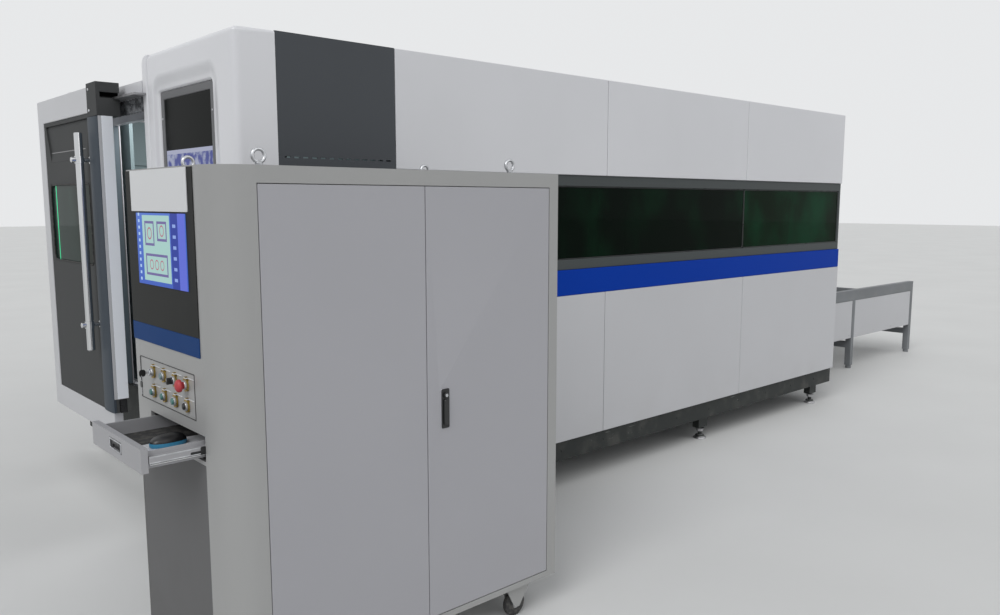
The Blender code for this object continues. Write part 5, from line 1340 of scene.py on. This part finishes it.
class MACHINE_OT_drawer(bpy.types.Operator):
    """Finish the keyboard drawer with its slides, pull and mouse"""

    bl_idname = "machine.drawer"
    bl_label = "Keyboard drawer"

    # The sides of the drawer's slot in the console, and the height of its pull
    SLOT = (-0.798, -0.376)
    PULL = 0.882

    def execute(self, context):
        body = "keyboard_drawer"
        softened(body, 0.0018, "drawer")
        front = shop_box(body)[0][0]
        self.pull(body, front)
        self.slides(body, front)
        self.trays(body, front)
        self.mouse(body)
        return {"FINISHED"}

    def pull(self, body, front):
        """A recessed pull: its rim, the back of its well and the bar inside."""
        y, z = sum(self.SLOT) / 2, self.PULL
        half, rise = 0.050, 0.0165
        rim = bead_loop((y - half, z - rise), (y + half, z + rise), front - 0.0002, 0, 0.0022, 0.004)
        make("pull_rim", [rim], body, "steel")
        well_low = (front + 0.0085, y - half, z - 0.016)
        well = block(well_low, (front + 0.0099, y + half, z + 0.016), 0.0004, 0, 0.002)
        make("pull_back", [well], body, "satin")
        grip = block(
            (front + 0.0005, y - 0.030, z + 0.001),
            (front + 0.0060, y + 0.030, z + 0.013),
            0.0022,
            0,
            0.003,
        )
        make("pull_grip", [grip], body, "black")

    def slides(self, body, front):
        """Rails on both sides, and on the near one a lip, release levers and screws."""
        rails = []
        for near, far in ((-0.8008, -0.7975), (-0.3765, -0.3732)):
            for z in (0.8705, 0.8875):
                rail_high = (front + 0.418, far, z + 0.0025)
                rails.append(block((front + 0.022, near, z - 0.0025), rail_high, 0.0010, 0))
        make("slide_rails", rails, body, "steel")
        lip = [block((front + 0.024, -0.8000, 0.8640), (front + 0.415, -0.7880, 0.8664), 0.0008, 0)]
        make("slide_lip", lip, body, "chrome")
        near, far = self.SLOT[0] - 0.0042, self.SLOT[0] - 0.0015
        levers = [
            block((front + 0.140, near, 0.8715), (front + 0.205, far, 0.8790), 0.0012, 1, 0.003),
            block(
                (front + 0.170, near - 0.0008, 0.8665), (front + 0.186, far, 0.8900), 0.0012, 1, 0.004
            ),
            block((front + 0.212, near, 0.8700), (front + 0.226, far, 0.8880), 0.0012, 1, 0.003),
        ]
        make("slide_lever", levers, body, "satin")
        screws = [(front + along, self.SLOT[0] - 0.0005, 0.879) for along in (0.060, 0.110, 0.155)]
        make("slide_screws", screw_heads(screws, 1, -1, 0.0035, 0.0018), body, "dull")

    def trays(self, body, front):
        """The rubber mat of the mouse and the pale tray beside it."""
        floor = shop_box("mouse")[0][2] - 0.0003
        start, end = front + 0.028, -0.2860
        mat = block((start, -0.5600, floor), (end, -0.4000, floor + 0.0024), 0.0008, 2, 0.006)
        make("drawer_mat", [mat], body, "rubber")
        tray = block((start, -0.7760, floor), (end, -0.5620, floor + 0.0016), 0.0005, 2, 0.004)
        make("drawer_tray", [tray], body, "head")

    def mouse(self, body):
        """A two-tone hull: half-widths follow a superellipse in plan, and the height is a dome that
        falls away from its highest point behind the middle; the lower skirt is a second colour."""
        low, high = shop_box("mouse")
        centre = (low + high) / 2
        half = (high - low) / 2
        tall = high[2] - low[2]
        around = np.linspace(0, 2 * np.pi, 48, endpoint=False)
        circuit = np.stack([np.cos(around), np.sin(around)], -1)
        plan = half[:2] * np.sign(circuit) * np.abs(circuit) ** 0.85
        hull = []
        for a in np.linspace(0, np.pi / 2, 14):
            ring = plan * math.cos(a) ** 0.55
            tilt = 1 + 0.12 * (ring[:, 0] / half[0])
            z = low[2] + tall * (0.30 + 0.66 * math.sin(a) * tilt)
            hull.append(np.column_stack([ring + centre[:2], np.minimum(z, high[2])]))
        make("mouse_shell", [np.array(hull) + SHOP], body, "satin", ("mouse",), 70)
        skirt = []
        for spread, height in ((0.93, 0.0), (0.99, 0.06), (1.006, 0.17), (1.006, 0.38), (0.98, 0.42)):
            skirt.append(stand(plan * spread + centre[:2], low[2] + tall * height, 2))
        make("mouse_skirt", [np.array(skirt) + SHOP], body, "azure", (), 60)
        side = [(PIN, 0.003), (0.0070, 0.003), (0.0080, 0.0015)]
        wheel = [(r, -h) for r, h in side] + [(r, h) for r, h in reversed(side)]
        place = (centre[0] - half[0] * 0.45, centre[1], low[2] + tall * 0.62)
        make("mouse_wheel", [turned(wheel, place, 1, 24)], body, "rubber")


class MACHINE_OT_base(bpy.types.Operator):
    """Finish the levelling feet, the skirt, the door opening, the pallet gate and the table"""

    bl_idname = "machine.base"
    bl_label = "Base"

    FEET_X = (0.25, 1.78, 3.31, 4.84)
    FEET_Y = (0.065, 2.575)

    def execute(self, context):
        self.feet()
        heads = [(x, 0.0150, 0.207) for x in np.arange(0.42, 5.0, 0.365)]
        make("skirt_screws", screw_heads(heads, 1, -1, 0.007, 0.004), ROOT, "skirt")
        self.doorway()
        softened("pallet_gate", 0.002, "dark")
        softened("exchange_frame", 0.003, "grey")
        return {"FINISHED"}

    def feet(self):
        """A hexagon nut, a washer and a bell-shaped pad on each levelling foot."""
        hexagon = circle(0.023, 6)
        washer = [(PIN, 0.0665), (0.030, 0.0665), (0.030, 0.0695), (PIN, 0.0695)]
        pad = [
            (PIN, 0.0),
            (0.042, 0.0),
            (0.044, 0.004),
            (0.042, 0.010),
            (0.030, 0.018),
            (0.020, 0.026),
            (PIN, 0.026),
        ]
        shapes = []
        for x in self.FEET_X:
            for y in self.FEET_Y:
                shapes.append(plate(hexagon + (x, y), 0.050, 0.066, 2))
                shapes.append(turned(washer, (x, y, 0), 2, 24))
                shapes.append(turned(pad, (x, y, 0), 2, 28))
        make("levelling_nuts", shapes, ROOT, "dull")

    def doorway(self):
        """The bright face of the door track, and the reveal inside the door opening with a pale strip on
        its edge that paints the edge's highlight.
        """
        low, high = shop_box("end_wall")
        rail_foot, rail_top = 2.0954, 2.1066
        rail = block(
            (low[0] - 0.0006, low[1] + 0.001, rail_foot), (-0.0006, high[1] - 0.081, rail_top), 0.0008
        )
        make("track_facing", [rail], ROOT, "dull")
        reveal = block((0.1484, 1.8620, 0.552), (0.1836, 1.9600, 2.0285), 0.0012)
        make("opening_reveal", [reveal], ROOT, "jamb")
        # A pale strip on the reveal's edge: a painted highlight.
        trim = block((0.1806, 1.8606, 0.560), (0.1846, 1.8626, 2.0220), 0.0007)
        make("opening_edge_highlight", [trim], ROOT, "crest")


class MACHINE_OT_service(bpy.types.Operator):
    """Cover the far side and the rear with folded panels, louvres, latches and trim"""

    bl_idname = "machine.service"
    bl_label = "Service sides"

    # Seams of the far side along x, and the heights of its lower panels, band and upper panels
    SEAMS = (0.158, 0.760, 2.220, 3.680, 5.074)
    LOWER = (0.272, 1.086)
    BAND = (1.090, 1.232)
    UPPER = (1.236, 2.268)
    FIN_PITCH = 0.034

    def execute(self, context):
        self.far_side()
        self.rear()
        self.cabinet_back()
        return {"FINISHED"}

    def far_side(self):
        """Panels split at the same seams as the window side, with a blue band between the rows."""
        face = shop_box("far_wall")[1][1]
        skin = face + 0.0030
        bays = list(zip(self.SEAMS, self.SEAMS[1:]))
        for name, (foot, top), finish in (
            ("lower", self.LOWER, "lower"), ("upper", self.UPPER, "white")
        ):
            panels = []
            for start, end in bays:
                panels.append(block((start + 0.002, face, foot), (end - 0.002, skin, top), 0.0020, 1))
            make(f"far_{name}_panels", panels, ROOT, finish)
        foot, top = self.BAND
        band_high = (self.SEAMS[-1] - 0.002, face + 0.0032, top)
        make(
            "far_band",
            [block((self.SEAMS[0] + 0.002, face, foot), band_high, 0.0015, 1)],
            ROOT,
            "blue",
        )
        fins = []
        for places, foot, top in (
            ((1.02, 1.60, 2.48, 3.06, 3.94, 4.50), 0.36, 0.60), ((2.48, 3.06), 1.90, 2.14)
        ):
            for left in places:
                for z in np.arange(foot, top, self.FIN_PITCH):
                    fins.append(self.louvre((left, face + 0.0028, z), 0.36, 1))
        make("far_louvres", fins, ROOT, "lower", (), 40)
        latches = []
        for x in (0.70, 2.16, 3.62):
            latches.append(
                block((x - 0.018, skin, 0.84), (x + 0.018, face + 0.0105, 0.99), 0.0020, 1, 0.006)
            )
            latches.append(
                block(
                    (x - 0.010, face + 0.0100, 0.85), (x + 0.010, face + 0.0150, 0.95), 0.0025, 1, 0.006
                ),
            )
        make("far_latches", latches, ROOT, "satin")
        heads = []
        for start, end in bays:
            for x in np.linspace(start + 0.05, end - 0.05, 4):
                heads += [(x, skin, self.UPPER[0] + 0.026), (x, skin, self.UPPER[1] - 0.024)]
        make("far_wall_screws", screw_heads(heads, 1, 1, 0.006, 0.003), ROOT, "steel")

    def louvre(self, place, wide, axis):
        """A pressed louvre that faces along an axis: a quarter-round hood that swells from nothing at
        its top to 9 mm at its lip, and dies out at both ends."""
        across = np.linspace(0, 1, 9)
        swell = 0.009 * np.minimum(1, np.minimum(across, 1 - across) * 9) ** 0.5 + 0.0004
        turn = np.linspace(0, np.pi / 2, 5)
        hood = np.stack([np.append(np.sin(turn), 0), np.append(np.cos(turn), 0)], -1)
        grid = np.empty((len(across), len(hood), 3))
        grid[:, :, 1 - axis] = (wide * across)[:, None]
        grid[:, :, axis] = swell[:, None] * hood[:, 0]
        grid[:, :, 2] = 0.020 * hood[:, 1]
        return grid + place + SHOP

    def rear(self):
        """Panels round the pallet doorway and a dark trim on its edge."""
        face = shop_box("rear_wall")[1][0]
        skin = face + 0.003
        panels = []
        for near, far, foot, top in (
            (0.040, 1.318, 1.104, 2.244),
            (1.322, 2.600, 1.104, 2.244),
            (0.040, 0.440, 0.290, 1.100),
            (2.200, 2.600, 0.290, 1.100),
        ):
            panels.append(block((face, near, foot), (skin, far, top), 0.0020, 0))
        make("rear_panels", panels, ROOT, "white")
        near, far, wide, foot = 0.462, 2.178, 0.026, 0.330
        trims = [
            block((face, near, 1.002), (face + 0.006, far, 1.030), 0.0020, 0),
            block((face, near, foot), (face + 0.006, near + wide, 1.004), 0.0020, 0),
            block((face, far - wide, foot), (face + 0.006, far, 1.004), 0.0020, 0),
        ]
        make("doorway_trim", trims, ROOT, "dark")
        fins = []
        for left in (0.25, 0.72, 1.55, 2.02):
            for z in np.arange(1.86, 2.12, self.FIN_PITCH):
                fins.append(self.louvre((face + 0.0028, left, z), 0.32, 0))
        make("rear_louvres", fins, ROOT, "white", (), 40)
        above = [(skin, y, z) for y in (0.075, 1.283, 1.357, 2.565) for z in np.linspace(1.15, 2.21, 5)]
        beside = [(skin, y, z) for y in (0.070, 0.410, 2.230, 2.570) for z in (0.33, 0.69, 1.06)]
        make(
            "rear_wall_screws",
            screw_heads(above + beside, 0, 1, 0.006, 0.003),
            ROOT,
            "steel",
        )

    def cabinet_back(self):
        """A filter fan grille and a gland plate on the back of the cabinet, louvres on its far end."""
        high = shop_box("cabinet_shell")[1]
        face = high[1]
        self.fan(face, 0.330, 1.200, 0.260)
        gland_plate = [
            block((-0.10, face - 0.0005, 0.240), (0.38, face + 0.0025, 0.400), 0.0010, 1, 0.004)
        ]
        make("gland_plate", gland_plate, ROOT, "plate")
        glands = []
        for k, x in enumerate((-0.04, 0.05, 0.14, 0.23, 0.32)):
            r = 0.017 if k % 2 else 0.022
            nut = [(PIN, 0.0), (r, 0.0), (r, 0.010), (r * 0.86, 0.012), (r * 0.86, 0.022)]
            nut += [(r * 0.62, 0.030), (PIN, 0.030)]
            glands.append(turned(nut, (x, face + 0.0020, 0.320), 1, 12))
        make("cable_glands", glands, ROOT, "black")
        fins = []
        for foot in (0.30, 1.30):
            for z in np.arange(foot, foot + 0.20, 0.030):
                fins.append(self.louvre((high[0] - 0.0004, -0.76, z), 0.34, 0))
        make("cabinet_louvres", fins, ROOT, "cabinet", (), 40)

    def fan(self, face, left, foot, size):
        """A square grille: a frame, bars across it, and the filter mat behind them."""
        right, top, rim = left + size, foot + size, 0.026
        back, front = face - 0.001, face + 0.012
        bars = [
            block((left, back, foot), (right, front, foot + rim), 0.004, 1),
            block((left, back, top - rim), (right, front, top), 0.004, 1),
            block((left, back, foot), (left + rim, front, top), 0.004, 1),
            block((right - rim, back, foot), (right, front, top), 0.004, 1),
        ]
        for z in np.arange(foot + 0.038, top - 0.034, 0.016):
            bars.append(
                block(
                    (left + 0.020, face + 0.001, z), (right - 0.020, face + 0.009, z + 0.006), 0.0020, 0
                ),
            )
        make("fan_grille", bars, ROOT, "black")
        mat = block(
            (left + 0.010, back, foot + 0.010), (right - 0.010, face + 0.0008, top - 0.010), 0.0005, 1
        )
        make("fan_filter", [mat], ROOT, "rubber")


class MACHINE_OT_pallets(bpy.types.Operator):
    """Build the two pallets with toothed slats, rails and wheels, and the side sheets of their table"""

    bl_idname = "machine.pallets"
    bl_label = "Pallets"

    # Width of a pallet's bars
    BAR = 0.060

    # x of the table's first post, behind the rear wall
    TABLE = 5.100

    def execute(self, context):
        for node in ("inner_pallet", "outer_pallet"):
            low, high = shop_box(node)
            self.pallet(node, low, high, context.scene.machine_sizes)
        self.table_sheets()
        return {"FINISHED"}

    def table_sheets(self):
        """White sheets between the posts of the table, under its side beams, with their screws."""
        low, high = shop_box("exchange_frame")
        post, foot, top = 0.055, 0.300, 0.663
        middle = (self.TABLE + high[0] - post) / 2
        sheets = []
        screws = []
        for y, sign in ((low[1], 1), (high[1], -1)):
            outer, inner = y + sign * 0.002, y + sign * 0.008
            for left, right in ((self.TABLE + post, middle), (middle + post, high[0] - post)):
                sheet_low = (left + 0.001, min(outer, inner), foot)
                sheets.append(
                    block(sheet_low, (right - 0.001, max(outer, inner), top), 0.0022, 1, 0.004)
                )
                for x in np.linspace(left + 0.045, right - 0.045, 4):
                    screws += screw_heads([(x, outer, 0.330), (x, outer, 0.635)], 1, -sign)
        make("table_sheets", sheets, ROOT, "lower")
        make("table_screws", screws, ROOT, "steel")

    def pallet(self, node, low, high, sizes):
        """Side rails, end rails and spine as rounded bars, the slats, and wheels on stub axles."""
        near, far = low[1] + 0.035, high[1] - 0.035
        start, end = low[0], high[0]
        bottom = low[2] + 0.0097
        top = bottom + 0.080
        bar, spine = self.BAR, (near + far) / 2
        bars = [
            block((start, near, bottom), (end, near + bar, top), 0.004, 0),
            block((start, far - bar, bottom), (end, far, top), 0.004, 0),
            block((start, near, bottom), (start + bar, far, top), 0.004, 1),
            block((end - bar, near, bottom), (end, far, top), 0.004, 1),
            block((start, spine - 0.025, bottom), (end, spine + 0.025, top - 0.020), 0.004, 0),
        ]
        make(node + "_rails", bars, node, "grey", (node,))
        comb = self.comb(near + 0.017, far - 0.017, top - 0.035, high[2], sizes.tooth)
        pitch = (end - start - 2 * bar) / (sizes.slats + 1)
        slats = []
        for i in range(sizes.slats):
            x = start + bar + pitch * (i + 1)
            slats.append(plate(comb, x - 0.0025, x + 0.0025, 0))
        make(node + "_slats", slats, node, "slats")
        rim = [
            (PIN, 0.002), (0.010, 0.0), (0.012, 0.003), (0.026, 0.003), (0.0305, 0.0), (0.032, 0.002)
        ]
        rim += [(0.032, 0.026), (0.028, 0.030), (PIN, 0.030)]
        wheels = []
        for x in (start + 0.120, start + 1.300, end - 0.120):
            for y, sign in ((near - 0.0345, 1), (far + 0.0345, -1)):
                wheels.append(turned(rim, (x, y, low[2] + 0.0320), 1, 28, sign))
        make(node + "_wheels", wheels, node, "dull")

    def comb(self, left, right, foot, tips, tooth):
        """A slat's outline in y and z: flat-topped teeth, each rising and falling over its pitch."""
        teeth = int((right - left) / tooth)
        step = (right - left) / teeth
        root = tips - 0.022
        starts = left + step * np.arange(teeth)
        shape = ((0.0, root), (0.42, tips), (0.58, tips))
        profile = np.stack(
            [np.stack([starts + share * step, np.full(teeth, z)], -1) for share, z in shape], 1
        )
        ends = [[right, root], [right, foot], [left, foot]]
        return np.concatenate([profile.reshape(-1, 2), ends])


class MACHINE_OT_cutting_head(bpy.types.Operator):
    """Turn the cutting head with its collimator, sensor and nozzle"""

    bl_idname = "machine.cutting_head"
    bl_label = "Cutting head"

    def execute(self, context):
        node = "cutting_head"
        low, high = shop_box(node)
        half = 0.0425
        x, y = low[0] + 0.040 + half, (low[1] + high[1]) / 2
        base = low[2] + 0.110
        body = block((x - half, y - half, base), (x + half, y + half, base + 0.250), 0.008, 2, 0.010)
        mount_low = (x + half - 0.006, y - 0.060, base + 0.020)
        mount = block(mount_low, (high[0], y + 0.060, base + 0.230), 0.003, 0)
        make("head_body", [body, mount], node, "satin", (node,))
        collimator = [(0.030, 0.250), (0.032, 0.256), (0.030, 0.262), (0.030, 0.400), (0.024, 0.418)]
        collimator += [(0.016, 0.422), (0.016, 0.480), (0.012, 0.496), (PIN, 0.500)]
        window_high = (x - half + 0.004, y + 0.026, base + 0.150)
        window = block((x - half - 0.003, y - 0.026, base + 0.070), window_high, 0.002, 0, 0.004)
        sensor = [(PIN, 0.112), (0.034, 0.112), (0.034, 0.098), (0.030, 0.094), (0.030, 0.058)]
        sensor += [(0.024, 0.050), (PIN, 0.050)]
        fitting = [
            (PIN, 0.0), (0.008, 0.0), (0.010, 0.003), (0.010, 0.018), (0.007, 0.020), (0.007, 0.042)
        ]
        optics = [turned(collimator, (x, y, base), 2, 32), turned(sensor, (x, y, low[2]), 2, 32)]
        optics += [window, turned(fitting, (low[0], y, base + 0.060), 0, 20)]
        make("head_optics", optics, node, "steel")
        tip = [(0.0008, 0.0), (0.0050, 0.0), (0.0062, 0.0015), (0.0165, 0.024), (0.0180, 0.027)]
        tip += [(0.0180, 0.034), (0.0225, 0.036), (0.0225, 0.053)]
        make("nozzle", [turned(tip, (x, y, low[2]), 2, 32)], node, "copper")
        return {"FINISHED"}


class MACHINE_OT_stage(bpy.types.Operator):
    """Set the pale floor, the soft lights and the camera"""

    bl_idname = "machine.stage"
    bl_label = "Stage"

    # The camera, in shop metres and degrees: 1.6 m above the floor, tipped down and turned to the right
    EYE = (-1.490, -3.158, 1.600)
    DOWN, TURN = 7.409, 42.378
    LENS, SENSOR, SHIFT = 30.27, 36.0, (0.0005, 0.0045)

    def execute(self, context):
        scene = context.scene
        self.floor(scene)
        self.world(scene)
        self.lamps(scene)
        camera = bpy.data.cameras.new("camera")
        camera.lens, camera.sensor_width = self.LENS, self.SENSOR
        camera.shift_x, camera.shift_y = self.SHIFT
        camera.clip_end = 200.0
        eye = bpy.data.objects.new("camera", camera)
        eye.location = Vector(at(*self.EYE))
        eye.rotation_euler = (math.radians(90 - self.DOWN), 0.0, -math.radians(self.TURN))
        scene.collection.objects.link(eye)
        scene.camera = eye
        scene.view_settings.view_transform = "Standard"
        return {"FINISHED"}

    def floor(self, scene):
        """A pale, faintly mottled floor, half a millimetre below the feet."""
        reach, level = 60.0, -0.0005
        corners = [
            (-reach, -reach, level),
            (reach, -reach, level),
            (reach, reach, level),
            (-reach, reach, level),
        ]
        mesh = bpy.data.meshes.new("floor")
        mesh.from_pydata(corners, [], [(0, 1, 2, 3)])
        floor = bpy.data.objects.new("floor", mesh)
        scene.collection.objects.link(floor)
        ground = Finish("floor_pale", (0.66, 0.665, 0.66), 0.62)
        mottle = ground.noise(0.9, 5.0)
        ground.put("Base Color", ground.mix(mottle, (0.61, 0.615, 0.61, 1), (0.69, 0.695, 0.69, 1)))
        mesh.materials.append(ground.material)

    def lamps(self, scene):
        """Two wide soft suns, and a lamp inside that shows the lining through the door."""
        for name, turn, strength, spread in (
            ("key", (48, 0, -68), 1.35, 35), ("fill", (62, 0, 14), 0.55, 60)
        ):
            lamp = bpy.data.lights.new(name, "SUN")
            lamp.energy = strength
            lamp.angle = math.radians(spread)
            made = bpy.data.objects.new(name, lamp)
            made.rotation_euler = [math.radians(v) for v in turn]
            scene.collection.objects.link(made)
        inside = bpy.data.lights.new("inside", "AREA")
        inside.shape = "RECTANGLE"
        inside.size, inside.size_y, inside.energy = 1.6, 0.5, 14.0
        glow = bpy.data.objects.new("inside", inside)
        glow.location = Vector(at(0.95, 1.55, 2.05))
        glow.rotation_euler = (math.radians(25), 0.0, 0.0)
        scene.collection.objects.link(glow)

    def world(self, scene):
        """Pale surroundings for what the camera, glass and metal see, and a softer light elsewhere."""
        world = bpy.data.worlds.new("surroundings")
        world.use_nodes = True
        scene.world = world
        tree = world.node_tree
        backdrop = tree.nodes["Background"]
        backdrop.inputs["Color"].default_value = (0.80, 0.81, 0.82, 1.0)
        rays = tree.nodes.new("ShaderNodeLightPath")
        seen = rays.outputs["Is Camera Ray"]
        for name in ("Is Glossy Ray", "Is Transmission Ray"):
            either = tree.nodes.new("ShaderNodeMath")
            either.operation = "MAXIMUM"
            tree.links.new(seen, either.inputs[0])
            tree.links.new(rays.outputs[name], either.inputs[1])
            seen = either.outputs[0]
        level = tree.nodes.new("ShaderNodeMapRange")
        tree.links.new(seen, level.inputs[0])
        level.inputs[3].default_value = 0.62
        level.inputs[4].default_value = 1.0
        tree.links.new(level.outputs[0], backdrop.inputs["Strength"])


STEPS = (
    "finishes",
    "head",
    "panels",
    "door",
    "cabinet",
    "console",
    "drawer",
    "base",
    "service",
    "pallets",
    "cutting_head",
    "stage",
)


class MACHINE_PT_pieces(bpy.types.Panel):
    """The machine's pieces in the sidebar"""

    bl_label = "Laser cutting machine"
    bl_idname = "MACHINE_PT_pieces"
    bl_space_type = "VIEW_3D"
    bl_region_type = "UI"
    bl_category = "Machine"

    def draw(self, context):
        column = self.layout.column()
        for group in (context.scene.machine_colours, context.scene.machine_sizes):
            for name in group.__annotations__:
                column.prop(group, name)
        for step in STEPS:
            column.operator("machine." + step)


CLASSES = (
    MachineColours,
    MachineSizes,
    MACHINE_OT_finishes,
    MACHINE_OT_head,
    MACHINE_OT_panels,
    MACHINE_OT_door,
    MACHINE_OT_cabinet,
    MACHINE_OT_console,
    MACHINE_OT_drawer,
    MACHINE_OT_base,
    MACHINE_OT_service,
    MACHINE_OT_pallets,
    MACHINE_OT_cutting_head,
    MACHINE_OT_stage,
    MACHINE_PT_pieces,
)


def register():
    for item in CLASSES:
        bpy.utils.register_class(item)
    bpy.types.Scene.machine_colours = PointerProperty(type=MachineColours)
    bpy.types.Scene.machine_sizes = PointerProperty(type=MachineSizes)


def unregister():
    del bpy.types.Scene.machine_sizes
    del bpy.types.Scene.machine_colours
    for item in reversed(CLASSES):
        bpy.utils.unregister_class(item)


def main():
    """Register the add-on, and run its operators in order."""
    register()
    for step in STEPS:
        getattr(bpy.ops.machine, step)()


if __name__ == "__main__":
    main()
